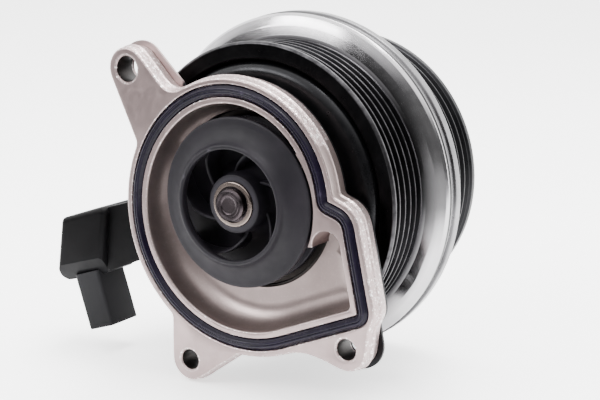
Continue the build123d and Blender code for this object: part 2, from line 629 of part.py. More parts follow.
def drive_pulley():
    """Outer belt pulley: a deep cup with a dished web and lightening holes."""
    pulley = turned(
        (HUB_NECK_R + RUNNING, HUB_FLANGE_Y[1]), (27.5, HUB_FLANGE_Y[1]), (30.5, DRIVE_FRONT_Y),
        (DRIVE_LIP_R - 0.8, DRIVE_FRONT_Y), (DRIVE_LIP_R, DRIVE_FRONT_Y + 0.8), (DRIVE_LIP_R, 50.8),
        (DRIVE_TIP_R, 51.4), (DRIVE_TIP_R, 72.6), (DRIVE_LIP_R, 73.2), (DRIVE_LIP_R, DRIVE_BACK_Y - 0.8),
        (DRIVE_LIP_R - 0.8, DRIVE_BACK_Y), (43.6, DRIVE_BACK_Y), (42.6, DRIVE_BACK_Y - 1.0),
        (42.6, 53.4), (40.6, 51.4), (31.6, 51.4), (28.6, WEB_BACK_Y), (HUB_NECK_R + RUNNING, WEB_BACK_Y))
    middle = (DRIVE_FRONT_Y + DRIVE_BACK_Y) / 2
    for i in range(DRIVE_GROOVES):
        pulley -= v_groove(middle + (i - (DRIVE_GROOVES - 1) / 2) * RIB_PITCH, DRIVE_TIP_R, DRIVE_ROOT_R)
    bolt_hole = Pos(DRIVE_BOLT_RING_R, 0, 0) * disc(3.2, 50, 56)
    pulley = cut_all(pulley, around(bolt_hole, evenly(DRIVE_BOLTS, 90)))
    rivet_hole = Pos(RIVET_RING_R, 0, 0) * disc(2.0, 47, 53)
    pulley = cut_all(pulley, around(rivet_hole, evenly(RIVETS, 60)))
    window = slab(arc_slot(RIVET_RING_R, *DRIVE_WINDOW), 47, 53)
    return cut_all(pulley, around(window, evenly(RIVETS)))


def drive_bolts():
    """Hexagon bolts with a washer flange and a shallow cup in the head."""
    top = WEB_BACK_Y + 4.8
    bolt = disc(2.5, HUB_FLANGE_Y[0] + 0.2, WEB_BACK_Y + 0.1)
    bolt += turned((0, WEB_BACK_Y), (5.8, WEB_BACK_Y), (5.8, WEB_BACK_Y + 0.8), (5.0, WEB_BACK_Y + 1.5),
                   (0, WEB_BACK_Y + 1.5))
    bolt += slab(RegularPolygon(4.6, 6, major_radius=False), WEB_BACK_Y + 1.0, top)
    bolt -= turned((0, top - 0.6), (3.0, top - 0.6), (3.6, top + 0.8), (0, top + 0.8))
    return around(Pos(DRIVE_BOLT_RING_R, 0, 0) * bolt, evenly(DRIVE_BOLTS, 90))


def leaf_springs():
    """Three flat springs from the outer pulley's web to the back of the armature plate."""
    leaf = arc_slot(RIVET_RING_R, 9.0, 60.0)
    a = math.radians(30)
    for side in (-1, 1):
        leaf -= Pos(RIVET_RING_R * math.cos(a), side * RIVET_RING_R * math.sin(a)) * Circle(RIVET_R)
    return around(slab(leaf, SPRING_Y, SPRING_Y + SPRING_T), evenly(3, -30))


def pulley_rivets():
    """Rivets that hold the springs to the outer pulley, each with its spacer."""
    y0 = SPRING_Y + SPRING_T
    rivet = disc(RIVET_R, SPRING_Y - 0.1, 51.5) + tube(RIVET_R, 3.6, y0, DRIVE_FRONT_Y)
    rivet += turned((0, SPRING_Y - 1.0), (2.0, SPRING_Y - 1.0), (3.2, SPRING_Y), (0, SPRING_Y))
    rivet += turned((0, 51.4), (3.4, 51.4), (2.2, 52.8), (0, 52.8))
    return around(Pos(RIVET_RING_R, 0, 0) * rivet, evenly(RIVETS, 60))


# ---------------------------------------------------------------- armature body

def armature_plate():
    """Flat steel plate facing the rotor across the air gap, with a stepped bright outer ring."""
    front = FACE_BACK_Y + AIR_GAP
    plate = turned(
        (ARMATURE_BORE_R, front), (57.4, front), (57.8, front + 0.4), (57.8, front + 2.2),
        (58.2, front + 2.4), (ARMATURE_R, front + 2.9), (ARMATURE_R, ARMATURE_BACK_Y - 0.9),
        (ARMATURE_R - 0.9, ARMATURE_BACK_Y), (50.5, ARMATURE_BACK_Y), (48.5, ARMATURE_WEB_Y),
        (ARMATURE_BORE_R, ARMATURE_WEB_Y))
    hole = disc(RIVET_R, front - 1, ARMATURE_WEB_Y + 1)
    hole += turned((0, front - 1), (4.1, front - 1), (RIVET_R, front + 1.2), (0, front + 1.2))
    plate = cut_all(plate, around(Pos(RIVET_RING_R, 0, 0) * hole, evenly(RIVETS)))
    window = slab(arc_slot(*ARMATURE_WINDOW), front - 1, ARMATURE_BACK_Y + 1)
    return cut_all(plate, around(window, evenly(6, 30)))


def armature_rivets():
    front = FACE_BACK_Y + AIR_GAP
    shank = RIVET_R - 0.05
    top = SPRING_Y + SPRING_T
    rivet = disc(shank, front + 0.4, top + 0.1) + tube(shank, 3.6, ARMATURE_WEB_Y, SPRING_Y)
    rivet += turned((0, front + 0.1), (2.9, front + 0.1), (shank, front + 1.2), (0, front + 1.2))
    rivet += turned((0, top), (3.1, top), (2.0, top + 0.8), (0, top + 0.8))
    return around(Pos(RIVET_RING_R, 0, 0) * rivet, evenly(RIVETS))


# ---------------------------------------------------------------- all nodes

def main():
    os.makedirs("parts", exist_ok=True)
    save("pump_housing", pump_housing())
    save("housing_seal", housing_seal())
    save("seal_cup", seal_cup())
    save("seal_stationary_ring", seal_stationary_ring())
    save("seal_bellows", seal_bellows())
    save("seal_spring", seal_spring())
    save("shaft_bearing_ring", shaft_bearing_ring())
    save("shaft_bearing_seals", *shaft_bearing_seals())
    save("rotor_bearing_inner_ring", rotor_bearing_inner_ring())
    save("nose_circlip", nose_circlip())
    save("coil_core", coil_core())
    save("coil_bobbin", coil_bobbin())
    save("coil_winding", coil_winding())
    save("coil_potting", coil_potting())
    save("coil_plate", coil_plate())
    save("coil_screws", *coil_screws())
    save("back_plate", back_plate())
    save("connector_body", connector_body())
    save("connector_terminals", *connector_terminals())
    save("rotor_pulley", rotor_pulley())
    save("friction_lining", friction_lining())
    save("rotor_bearing_outer_ring", rotor_bearing_outer_ring())
    save("rotor_bearing_seals", *rotor_bearing_seals())
    save("rotor_bearing_clip", rotor_bearing_clip())
    save("rotor_bearing_balls", *ball_rows(ROTOR_BALL_R, ROTOR_BALL_PITCH_R, ROTOR_BALL_ROWS, ROTOR_BALLS))
    save("rotor_bearing_cages", *cages(20.3, 22.2, 2.7, ROTOR_BALL_R, ROTOR_BALL_PITCH_R,
                                       ROTOR_BALL_ROWS, ROTOR_BALLS))
    save("shaft_bearing_balls", *ball_rows(SHAFT_BALL_R, SHAFT_BALL_PITCH_R, SHAFT_BALL_ROWS, SHAFT_BALLS))
    save("shaft_bearing_cages", *cages(8.3, 10.4, 2.8, SHAFT_BALL_R, SHAFT_BALL_PITCH_R,
                                       SHAFT_BALL_ROWS, SHAFT_BALLS))
    save("pump_shaft", pump_shaft())
    save("impeller_wheel", impeller_wheel())
    save("impeller_shroud", impeller_shroud())
    save("impeller_bush", impeller_bush())
    save("seal_rotating_ring", seal_rotating_ring())
    save("drive_hub", drive_hub())
    save("drive_pulley", drive_pulley())
    save("drive_bolts", *drive_bolts())
    save("leaf_springs", *leaf_springs())
    save("pulley_rivets", *pulley_rivets())
    save("armature_plate", armature_plate())
    save("armature_rivets", *armature_rivets())


main()
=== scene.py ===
import math

import bmesh
import bpy
from mathutils import Matrix, Vector


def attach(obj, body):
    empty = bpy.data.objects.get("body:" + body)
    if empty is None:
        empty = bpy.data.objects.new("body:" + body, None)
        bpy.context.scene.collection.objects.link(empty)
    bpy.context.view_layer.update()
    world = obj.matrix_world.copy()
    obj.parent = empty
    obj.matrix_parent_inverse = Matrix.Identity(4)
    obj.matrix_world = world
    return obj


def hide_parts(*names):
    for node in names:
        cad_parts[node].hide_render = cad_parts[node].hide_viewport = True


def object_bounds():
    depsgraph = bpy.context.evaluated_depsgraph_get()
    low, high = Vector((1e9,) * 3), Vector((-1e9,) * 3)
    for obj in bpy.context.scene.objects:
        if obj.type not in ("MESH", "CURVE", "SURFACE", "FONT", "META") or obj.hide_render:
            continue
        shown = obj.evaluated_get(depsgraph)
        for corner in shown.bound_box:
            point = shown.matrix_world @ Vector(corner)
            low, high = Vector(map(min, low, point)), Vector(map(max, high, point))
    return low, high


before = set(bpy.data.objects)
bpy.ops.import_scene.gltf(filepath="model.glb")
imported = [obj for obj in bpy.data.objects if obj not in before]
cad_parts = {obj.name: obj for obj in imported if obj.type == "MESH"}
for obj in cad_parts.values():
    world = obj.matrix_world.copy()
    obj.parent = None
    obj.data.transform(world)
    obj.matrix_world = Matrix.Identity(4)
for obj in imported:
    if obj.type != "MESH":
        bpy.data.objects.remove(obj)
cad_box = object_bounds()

# Water pump with a magnetic clutch. Shapes are written in millimetres in the drawing plane of the
# housing and stood upright by TURN about the shaft axis (Y), then scaled to metres.
MM = 0.001
TURN = math.radians(-6.73)
STAND = Matrix.Rotation(TURN, 4, "Y")
SHARP_ANGLE = 32.0   # degrees between faces above which an edge stays sharp
WELD = 1e-7          # metres
ON_AXIS = 1e-6       # mm


# ------------------------------------------------------------------ mesh helpers

def finish_mesh(obj, angle=SHARP_ANGLE):
    """Smooth shading with sharp edges above the angle."""
    mesh = obj.data
    for polygon in mesh.polygons:
        polygon.use_smooth = True
    mesh.set_sharp_from_angle(angle=math.radians(angle))
    return obj


def new_object(name, verts, faces, angle=SHARP_ANGLE):
    """Mesh object from points in mm, stood upright, with outward normals."""
    mesh = bpy.data.meshes.new(name)
    mesh.from_pydata([tuple(STAND @ Vector(v) * MM) for v in verts], [], faces)
    work = bmesh.new()
    work.from_mesh(mesh)
    bmesh.ops.remove_doubles(work, verts=work.verts, dist=WELD)
    bmesh.ops.recalc_face_normals(work, faces=work.faces)
    work.to_mesh(mesh)
    work.free()
    obj = bpy.data.objects.new(name, mesh)
    bpy.context.scene.collection.objects.link(obj)
    return finish_mesh(obj, angle)


def rounded(profile, segments=4):
    """Closed (u, v) corners, each with an optional fillet radius, as a fine closed outline."""
    points = []
    count = len(profile)
    for i, corner in enumerate(profile):
        radius = corner[2] if len(corner) > 2 else 0.0
        here = Vector(corner[:2])
        if radius <= 0:
            points.append(tuple(here))
            continue
        before = Vector(profile[i - 1][:2]) - here
        after = Vector(profile[(i + 1) % count][:2]) - here
        half = before.angle(after) / 2
        cut = radius / math.tan(half)
        cut = min(cut, before.length * 0.49, after.length * 0.49)
        radius = cut * math.tan(half)
        start = here + before.normalized() * cut
        bisector = (before.normalized() + after.normalized()).normalized()
        centre = here + bisector * (radius / math.sin(half))
        end = here + after.normalized() * cut
        a0 = math.atan2(start.y - centre.y, start.x - centre.x)
        a1 = math.atan2(end.y - centre.y, end.x - centre.x)
        sweep = (a1 - a0 + math.pi) % (2 * math.pi) - math.pi
        for k in range(segments + 1):
            a = a0 + sweep * k / segments
            points.append((centre.x + radius * math.cos(a), centre.y + radius * math.sin(a)))
    return points


def lathe_data(outline, steps, origin=(0.0, 0.0)):
    """Vertices and faces of a closed outline of (radius, y) turned about an axis along Y."""
    verts, rings = [], []
    for r, y in outline:
        if r < ON_AXIS:
            rings.append([len(verts)])
            verts.append((origin[0], y, origin[1]))
            continue
        rings.append(list(range(len(verts), len(verts) + steps)))
        for k in range(steps):
            a = 2 * math.pi * k / steps
            verts.append((origin[0] + r * math.cos(a), y, origin[1] + r * math.sin(a)))
    faces = []
    count = len(rings)
    for i in range(count):
        low, high = rings[i], rings[(i + 1) % count]
        if len(low) == 1 and len(high) == 1:
            continue
        for k in range(steps):
            n = (k + 1) % steps
            if len(low) == 1:
                faces.append((low[0], high[k], high[n]))
            elif len(high) == 1:
                faces.append((low[k], high[0], low[n]))
            else:
                faces.append((low[k], high[k], high[n], low[n]))
    return verts, faces


def lathe(name, profile, steps):
    return new_object(name, *lathe_data(rounded(profile), steps))


def lathes(name, profile, centres, steps=48):
    """The same turned shape at several (x, z) centres, as one piece."""
    verts, faces = [], []
    for centre in centres:
        v, f = lathe_data(rounded(profile), steps, centre)
        faces += [tuple(i + len(verts) for i in face) for face in f]
        verts += v
    return new_object(name, verts, faces)


def stack_data(rings, caps=True):
    """Skin through rings of equal point count; each ring is a list of 3-D points."""
    verts = [p for ring in rings for p in ring]
    n = len(rings[0])
    faces = []
    for level in range(len(rings) - 1):
        for k in range(n):
            m = (k + 1) % n
            faces.append((level * n + k, (level + 1) * n + k, (level + 1) * n + m, level * n + m))
    if caps:
        faces.append(tuple(range(n)))
        faces.append(tuple(range((len(rings) - 1) * n, len(rings) * n)))
    else:
        top = (len(rings) - 1) * n
        for k in range(n):
            m = (k + 1) % n
            faces.append((top + k, k, m, top + m))
    return verts, faces


def flat_ring(points, y):
    return [(x, y, z) for x, z in points]


def on_circle(r, degrees):
    a = math.radians(degrees)
    return r * math.cos(a), r * math.sin(a)


def joined(name, objects):
    """One object from several, their meshes kept as they are."""
    work = bmesh.new()
    for obj in objects:
        work.from_mesh(obj.data)
        bpy.data.objects.remove(obj)
    mesh = bpy.data.meshes.new(name)
    work.to_mesh(mesh)
    work.free()
    obj = bpy.data.objects.new(name, mesh)
    bpy.context.scene.collection.objects.link(obj)
    return finish_mesh(obj)


def boolean(obj, tools, operation):
    """Apply booleans with the manifold solver and remove the tools."""
    for tool in tools:
        modifier = obj.modifiers.new("cut", "BOOLEAN")
        modifier.operation = operation
        modifier.object = tool
        modifier.solver = "MANIFOLD"
    graph = bpy.context.evaluated_depsgraph_get()
    mesh = bpy.data.meshes.new_from_object(obj.evaluated_get(graph))
    obj.modifiers.clear()
    obj.data = mesh
    for tool in tools:
        bpy.data.objects.remove(tool)
    return finish_mesh(obj)


# ------------------------------------------------------------------ outlines of the housing

SMALL_C, SMALL_R = Vector((-1.8, 1.9)), 34.8
LARGE_C = Vector((1.7, -4.6))
APART = (SMALL_C - LARGE_C).length
LARGE_R = SMALL_R + APART
MEET = math.atan2(SMALL_C.y - LARGE_C.y, SMALL_C.x - LARGE_C.x)
OUTLET = Vector((44.2, -36.6))
REACH = OUTLET - LARGE_C
LEAVE = math.atan2(REACH.y, REACH.x) - math.acos(LARGE_R / REACH.length) + 2 * math.pi
END = LARGE_C + LARGE_R * Vector((math.cos(LEAVE), math.sin(LEAVE)))
START = Vector((SMALL_C.x + SMALL_R, SMALL_C.y))
# Straight runs of the middle line from END to START, with the corner radii
CORNERS = ((OUTLET, 3.4), (Vector((41.3, -4.6)), 6.0), (Vector((33.0, -0.6)), -2.6))


def arc_points(centre, radius, a0, a1, count):
    return [(centre.x + radius * math.cos(a0 + (a1 - a0) * k / count),
             centre.y + radius * math.sin(a0 + (a1 - a0) * k / count)) for k in range(count + 1)]


def line_shift(p, q, d):
    """The line p-q moved by d to the right of its direction, which is outwards."""
    normal = Vector((q.y - p.y, p.x - q.x)).normalized() * d
    return p + normal, q + normal


def crossing(a, b):
    (p, q), (r, s) = a, b
    u, v = q - p, s - r
    t = ((r.x - p.x) * v.y - (r.y - p.y) * v.x) / (u.x * v.y - u.y * v.x)
    return p + u * t


def corner_points(before, here, after, radius, count=10):
    """Fillet at a corner, always count + 1 points."""
    a, b = (before - here), (after - here)
    half = a.angle(b) / 2
    cut = radius / math.tan(half)
    start, end = here + a.normalized() * cut, here + b.normalized() * cut
    centre = here + (a.normalized() + b.normalized()).normalized() * (radius / math.sin(half))
    a0 = math.atan2(start.y - centre.y, start.x - centre.x)
    a1 = math.atan2(end.y - centre.y, end.x - centre.x)
    sweep = (a1 - a0 + math.pi) % (2 * math.pi) - math.pi
    return [(centre.x + radius * math.cos(a0 + sweep * k / count),
             centre.y + radius * math.sin(a0 + sweep * k / count)) for k in range(count + 1)]


def outline(d):
    """The groove's middle line moved outwards by d, always the same number of points."""
    points = arc_points(SMALL_C, SMALL_R + d, 0.0, MEET, 110)[:-1]
    points += arc_points(LARGE_C, LARGE_R + d, MEET, LEAVE, 130)
    chain = [END] + [c for c, _ in CORNERS] + [START]
    lines = [line_shift(chain[i], chain[i + 1], d) for i in range(4)]
    moved = [lines[0][0]] + [crossing(lines[i], lines[i + 1]) for i in range(3)] + [lines[3][1]]
    for i, (_, radius) in enumerate(CORNERS):
        size = max(radius + d, 0.25) if radius > 0 else max(-radius - d, 0.25)
        points += corner_points(moved[i], moved[i + 1], moved[i + 2], size)
    return points


EARS = (((-38.0, 45.3), 7.4, (-20.5, 34.0), (-36.9, 19.0)),
        ((-25.3, -53.3), 7.2, (-29.6, -30.0), (-2.0, -48.6)),
        ((36.6, -46.6), 7.2, (18.5, -47.0), (47.4, -32.0)))
EAR_HOLES = (4.2, 3.3, 3.3)
LAND = 4.2             # the sealing land reaches this far outside the groove's middle line
RAYS = 1440            # directions in which the outline is sampled
OUTLINE_POINTS = 560
CAST_CORNERS = ((-19.5, 37.0), (20.0, -47.0))   # inner corners with a broad cast blend


def ear_polygon(centre, radius, root_a, root_b):
    c = Vector(centre)
    ends = []
    for root, side in ((root_a, 1), (root_b, -1)):
        to = Vector(root) - c
        ends.append(math.atan2(to.y, to.x) + side * math.acos(radius / to.length))
    a0, a1 = ends
    while a1 < a0:
        a1 += 2 * math.pi
    return [root_a] + arc_points(c, radius, a0, a1, 60) + [root_b, (0.0, 0.0)]


def ray_reach(polygon, angle):
    """Furthest distance at which a ray from the shaft axis leaves a polygon."""
    ux, uz = math.cos(angle), math.sin(angle)
    best = 0.0
    count = len(polygon)
    for i in range(count):
        px, pz = polygon[i]
        qx, qz = polygon[(i + 1) % count]
        side_p = ux * pz - uz * px
        side_q = ux * qz - uz * qx
        if side_p * side_q > 0 or side_p == side_q:
            continue
        t = side_p / (side_p - side_q)
        best = max(best, ux * (px + (qx - px) * t) + uz * (pz + (qz - pz) * t))
    return best


def resampled(points, count):
    """The closed line again with evenly spaced points."""
    lengths = [0.0]
    closed = points + [points[0]]
    for p, q in zip(closed, closed[1:]):
        lengths.append(lengths[-1] + math.dist(p, q))
    out, i = [], 0
    for k in range(count):
        s = lengths[-1] * k / count
        while lengths[i + 1] < s:
            i += 1
        t = (s - lengths[i]) / max(lengths[i + 1] - lengths[i], 1e-9)
        p, q = closed[i], closed[i + 1]
        out.append((p[0] + (q[0] - p[0]) * t, p[1] + (q[1] - p[1]) * t))
    return out


def smoothed(points, passes, centres=None, reach=None):
    """Average each point with its neighbours, everywhere or only near some places."""
    weights = [0.5] * len(points)
    if centres:
        weights = [0.5 * max(math.exp(-(math.dist(p, c) / reach) ** 2) for c in centres) for p in points]
    for _ in range(passes):
        points = [
            (p[0] + ((a[0] + b[0]) / 2 - p[0]) * w, p[1] + ((a[1] + b[1]) / 2 - p[1]) * w)
            for a, p, b, w in zip(points[-1:] + points[:-1], points, points[1:] + points[:1], weights)]
    return points


def flange_outline():
    """Land and three ears as one line, its inner corners blended as cast."""
    shapes = [outline(LAND)] + [ear_polygon(*ear) for ear in EARS]
    points = []
    for k in range(RAYS):
        angle = 2 * math.pi * k / RAYS
        reach = max(ray_reach(shape, angle) for shape in shapes)
        points.append((reach * math.cos(angle), reach * math.sin(angle)))
    points = resampled(points, OUTLINE_POINTS)
    points = smoothed(points, 90, CAST_CORNERS, 7.0)
    return smoothed(points, 5)


def inset(points, distance):
    """Move a counter-clockwise closed line inwards along its normals."""
    out = []
    for a, p, b in zip(points[-1:] + points[:-1], points, points[1:] + points[:1]):
        tx, tz = b[0] - a[0], b[1] - a[1]
        size = math.hypot(tx, tz)
        out.append((p[0] - tz / size * distance, p[1] + tx / size * distance))
    return out


# ------------------------------------------------------------------ housing

FLOOR = 10.0                   # depth of the volute floor
BLEND = 7.5                    # radius between wall and floor
RECESS_R = 29.4                # recess round the impeller, and the pocket beside it
POCKET = Vector((1.4, -0.4))   # centre of the crescent pocket
STOP_Z = -13.8                 # where the volute wall ends at the cutwater


def flange_plate():
    line = flange_outline()
    levels = ((0.0, 0.95), (0.06, 0.62), (0.2, 0.34), (0.45, 0.12), (0.8, 0.02), (3.35, -0.1), (3.6, -0.3),
              (3.85, -0.5), (4.25, -0.55), (4.6, -0.42), (4.8, 0.0), (5.0, 0.12), (8.1, 0.3), (8.6, 0.5),
              (8.9, 0.85), (9.0, 1.3))
    rings = [flat_ring(inset(line, depth), y) for y, depth in levels]
    return new_object("flange", *stack_data(rings))


def volute_tool():
    """Space of the volute: rounded mouth, upright wall and a floor with a broad blend."""
    levels = [(-1.0, 3.7), (0.0, 3.75), (0.1, 3.98), (0.3, 4.18), (0.7, 4.3), (FLOOR - BLEND, 4.35)]
    for k in range(1, 16):
        t = math.radians(6.0 * k)
        levels.append((FLOOR - BLEND + BLEND * math.sin(t), 4.35 + BLEND * (1 - math.cos(t))))
    first = math.radians(27.5)
    rings = []
    for y, d in levels:
        points = arc_points(SMALL_C, SMALL_R - d, first, MEET, 100)[:-1]
        points += arc_points(LARGE_C, LARGE_R - d, MEET, LEAVE, 130)
        low = line_shift(END, OUTLET, -d)
        up = line_shift(OUTLET, CORNERS[1][0], -d)
        here = crossing(low, up)
        top = crossing(up, (Vector((0.0, STOP_Z)), Vector((50.0, STOP_Z))))
        points += corner_points(low[0], here, top, 2.2)
        for k in range(1, 9):
            points.append(tuple(here.lerp(top, 0.35 + 0.65 * k / 8)))
        points += [(30.0, STOP_Z), (20.0, STOP_Z), (18.0, 0.0), (20.0, 8.0)]
        rings.append(flat_ring(points, y))
    return new_object("volute_tool", *stack_data(rings))


def groove_tool():
    levels = ((2.1, 3.2), (2.1, 0.5), (2.16, 0.2), (2.32, 0.05), (2.5, 0.0), (2.6, -1.0),
              (-2.5, -1.0), (-2.4, 0.0), (-2.25, 0.06), (-2.12, 0.25), (-2.1, 0.5), (-2.1, 3.2))
    rings = [flat_ring(outline(d), y) for d, y in levels]
    return new_object("groove_tool", *stack_data(rings, caps=False))


def ear_hole_tools():
    tools = []
    for (centre, *_), r in zip(EARS, EAR_HOLES):
        profile = ((0, -1), (r + 1.1, -1), (r + 0.95, 0), (r + 0.45, 0.12), (r + 0.12, 0.5),
                   (r, 1.0), (r, 8.4), (r + 0.3, 9.05), (r + 0.3, 14), (0, 14))
        tools.append(lathes("hole_tool", profile, (centre,), 72))
    return tools


def make_housing():
    housing = flange_plate()
    bulge = [flat_ring(outline(-1.2 - back), y) for y, back in
             ((8.0, 0.0), (11.6, 0.05), (12.2, 0.25), (12.55, 0.65), (12.7, 1.2))]
    bulge = new_object("bulge", *stack_data(bulge))
    nose = lathe("nose", (
        (0, 12.0), (29.0, 12.0), (29.0, 15.6, 0.6), (19.8, 15.6, 1.2), (19.8, 20.4, 0.3), (17.5, 20.4),
        (17.5, 36.8), (16.5, 36.8), (16.5, 38.2), (17.5, 38.2), (17.5, 39.6, 0.3), (16.8, 40.3, 0.3),
        (16.8, 45.0, 0.7), (0, 45.0)), 160)
    boolean(housing, [bulge, nose], "UNION")
    bore = lathe("bore_tool", (
        (0, -1), (29.85, -1), (29.8, 0), (29.55, 0.2), (RECESS_R, 0.6),
        (RECESS_R, 12.4, 0.5), (12.0, 12.4, 0.3), (12.0, 21.0), (11.0, 21.0), (11.0, 24.0),
        (13.0, 24.0), (13.0, 46.0), (0, 46.0)), 224)
    notch = lathes("notch_tool", (
        (0, -1), (5.5, -1), (5.4, 0), (5.12, 0.3), (5.0, 0.7), (5.0, 9.2), (4.7, 9.8), (4.0, FLOOR),
        (0, FLOOR)), ((32.9, STOP_Z),), 96)
    pocket = lathes("pocket_tool", ((0, 9.6), (RECESS_R, 9.6), (RECESS_R, 11.4), (0, 11.4)),
                    (tuple(POCKET),), 200)
    tools = [volute_tool(), bore, pocket, notch, groove_tool()] + ear_hole_tools()
    boolean(housing, tools, "DIFFERENCE")
    housing.name = "housing_casting"
    return housing


def make_seal():
    """Rubber seal: a foot in the groove and a rounded crown with a fine centre line."""
    section = ((-1.75, 3.1), (-1.78, 0.55), (-1.62, 0.2), (-1.2, -0.02), (-1.02, -0.3), (-0.86, -0.56),
               (-0.5, -0.7), (-0.14, -0.68), (0.0, -0.52), (0.14, -0.68), (0.5, -0.7), (0.86, -0.56),
               (1.02, -0.3), (1.2, -0.02), (1.62, 0.2), (1.78, 0.55), (1.75, 3.1))
    rings = [flat_ring(outline(d), y) for d, y in section]
    return new_object("moulded_seal", *stack_data(rings, caps=False), angle=50)


# ------------------------------------------------------------------ impeller and shaft

def spline(points, steps):
    """Catmull-Rom line through points."""
    full = [points[0]] + list(points) + [points[-1]]
    out = []
    for i in range(1, len(full) - 2):
        p0, p1, p2, p3 = full[i - 1:i + 3]
        for k in range(steps):
            t = k / steps
            out.append(tuple(0.5 * (2 * b + (c - a) * t + (2 * a - 5 * b + 4 * c - d) * t * t
                                    + (3 * b - 3 * c + d - a) * t ** 3)
                             for a, b, c, d in zip(p0, p1, p2, p3)))
    return out + [tuple(points[-1])]


def make_shroud():
    """Bell-mouth front shroud: flat rim, flaring into the raised, thin eye lip."""
    outer = spline(((28.0, 1.35), (27.4, 1.05), (25.6, 0.8), (23.5, 0.2), (21.6, -0.75), (20.4, -1.9),
                    (19.85, -3.0), (19.62, -3.45), (19.2, -3.7)), 5)
    inner = spline(((18.65, -3.7), (18.3, -3.45), (18.2, -2.8), (18.45, -1.2), (19.2, 0.4), (21.0, 1.7),
                    (23.6, 2.5), (27.6, 3.0), (28.0, 2.7)), 5)
    data = lathe_data(outer + inner, 224)
    return new_object("impeller_bell", *data)


def vane_data(first_angle):
    """One vane as a closed skin, swept clockwise outwards, its free edge rounded."""
    stations = spline(((9.0, 0.0), (11.5, -9.5), (14.5, -21.0), (18.0, -34.0), (22.0, -51.0),
                       (27.3, -73.0)), 5)
    rings = []
    for i, (r, turn) in enumerate(stations):
        share = i / (len(stations) - 1)
        half = 0.85 * (0.55 + 0.45 * math.sin(math.pi * min(1.0, 0.15 + share)))
        front = 4.6 - 3.2 * (r - 8.0) / 10.1 if r < 18.1 else min(2.6, 1.4 + 0.6 * (r - 18.1) ** 0.6)
        section = [(-1.0, 9.8), (-1.0, front + 1.0), (-0.92, front + 0.55), (-0.7, front + 0.2),
                   (-0.35, front + 0.03), (0.35, front + 0.03), (0.7, front + 0.2), (0.92, front + 0.55),
                   (1.0, front + 1.0), (1.0, 9.8)]
        ring = []
        for across, y in section:
            a = first_angle + math.radians(turn) + across * half / r
            ring.append((r * math.cos(a), y, r * math.sin(a)))
        rings.append(ring)
    return stack_data(rings)


def make_wheel():
    hub = lathe("hub", ((7.5, -0.4), (9.6, -0.4, 0.5), (10.2, 5.4, 3.0), (13.4, 8.8, 2.5), (16.5, 9.4),
                        (27.6, 9.4, 0.5), (27.6, 11.4, 0.5), (7.5, 11.4)), 160)
    parts = [hub]
    for i in range(6):
        parts.append(new_object("vane", *vane_data(math.radians(-20 + 60 * i)), angle=40))
    return joined("impeller_vanes", parts)


def make_bush():
    return lathe("impeller_bush_ring", ((6.0, -1.4), (7.5, -1.4, 0.55), (7.5, 11.4), (6.0, 11.4)), 128)


def make_shaft():
    return lathe("shaft", (
        (0, -3.25), (2.6, -3.25, 0.2), (2.85, -3.5, 0.1), (3.1, -3.6), (3.7, -3.6), (3.85, -3.45),
        (4.0, -3.45), (4.15, -3.6), (4.7, -3.6, 0.15), (5.35, -3.0, 0.25), (5.35, -1.9, 0.2),
        (5.1, -1.7), (5.1, -1.1), (6.0, -1.0), (6.0, 16.0),
        (7.6, 21.6), (7.6, 26.8), (7.2, 27.2), (7.2, 41.2), (7.6, 41.6), (7.6, 44.8), (6.5, 45.8),
        (6.5, 57.0, 0.7), (2.6, 57.0, 0.1), (1.2, 55.6), (0, 55.2)), 128)


# ------------------------------------------------------------------ pulleys

RIB_PITCH = 3.56
GROOVE_HALF_OPEN, GROOVE_HALF_ROOT = 1.45, 0.3
CREST_FILLET, ROOT_FILLET = 0.3, 0.22


def rib_profile(first, count, tip, root):
    """Corners of the belt grooves from low to high y, with round roots and round crests."""
    corners = []
    for i in range(count):
        y = first + i * RIB_PITCH
        corners += [(tip, y - GROOVE_HALF_OPEN, CREST_FILLET), (root, y - GROOVE_HALF_ROOT, ROOT_FILLET),
                    (root, y + GROOVE_HALF_ROOT, ROOT_FILLET), (tip, y + GROOVE_HALF_OPEN, CREST_FILLET)]
    return corners


def make_clutch_pulley():
    profile = [(45.0, 15.0, 0.2), (45.5, 14.4, 0.3), (50.2, 14.4, 0.35), (50.9, 15.0, 0.3),
               (50.9, 15.7, 0.25), (50.05, 16.0, 0.15)]
    profile += rib_profile(17.8, 5, 50.0, 47.2)
    profile += [(50.0, 33.9, 0.8), (51.2, 34.6, 1.0), (54.4, 35.4, 4.0), (57.4, 36.75, 0.8),
                (58.2, 37.6, 0.35), (58.2, 38.5, 0.2), (25.0, 38.5), (25.0, 20.3, 0.4),
                (28.8, 20.3, 0.5), (28.8, 33.6, 1.0), (45.0, 33.6, 1.0)]
    rotor = lathe("clutch_pulley_rotor", profile, 256)
    slots = [arc_slot_tool(39.5, 2.4, 46.0, 60.0 * i, 32.0, 40.0) for i in range(6)]
    slots += [arc_slot_tool(33.2, 2.0, 42.0, 30.0 + 60.0 * i, 32.0, 40.0) for i in range(6)]
    return boolean(rotor, slots, "DIFFERENCE")


def make_armature():
    profile = [(29.5, 39.0), (57.4, 39.0, 0.25), (57.8, 39.5), (57.8, 41.3, 0.15),
               (58.6, 41.9, 0.25), (58.6, 44.7, 0.5), (57.6, 45.6, 0.3), (50.5, 45.6, 0.6),
               (48.5, 43.5, 0.8), (29.5, 43.5, 0.3)]
    disc = lathe("armature_disc", profile, 256)
    tools = [arc_slot_tool(43.0, 3.4, 34.0, 30.0 + 60.0 * i, 37.0, 48.0) for i in range(6)]
    centres = [on_circle(36.0, 120 * i) for i in range(3)]
    seat = ((0, 37.5), (4.1, 38.0), (1.9, 40.2), (1.9, 46.0), (0, 46.0))
    tools += [lathes("rivet_seat", seat, (c,), 40) for c in centres]
    return boolean(disc, tools, "DIFFERENCE")


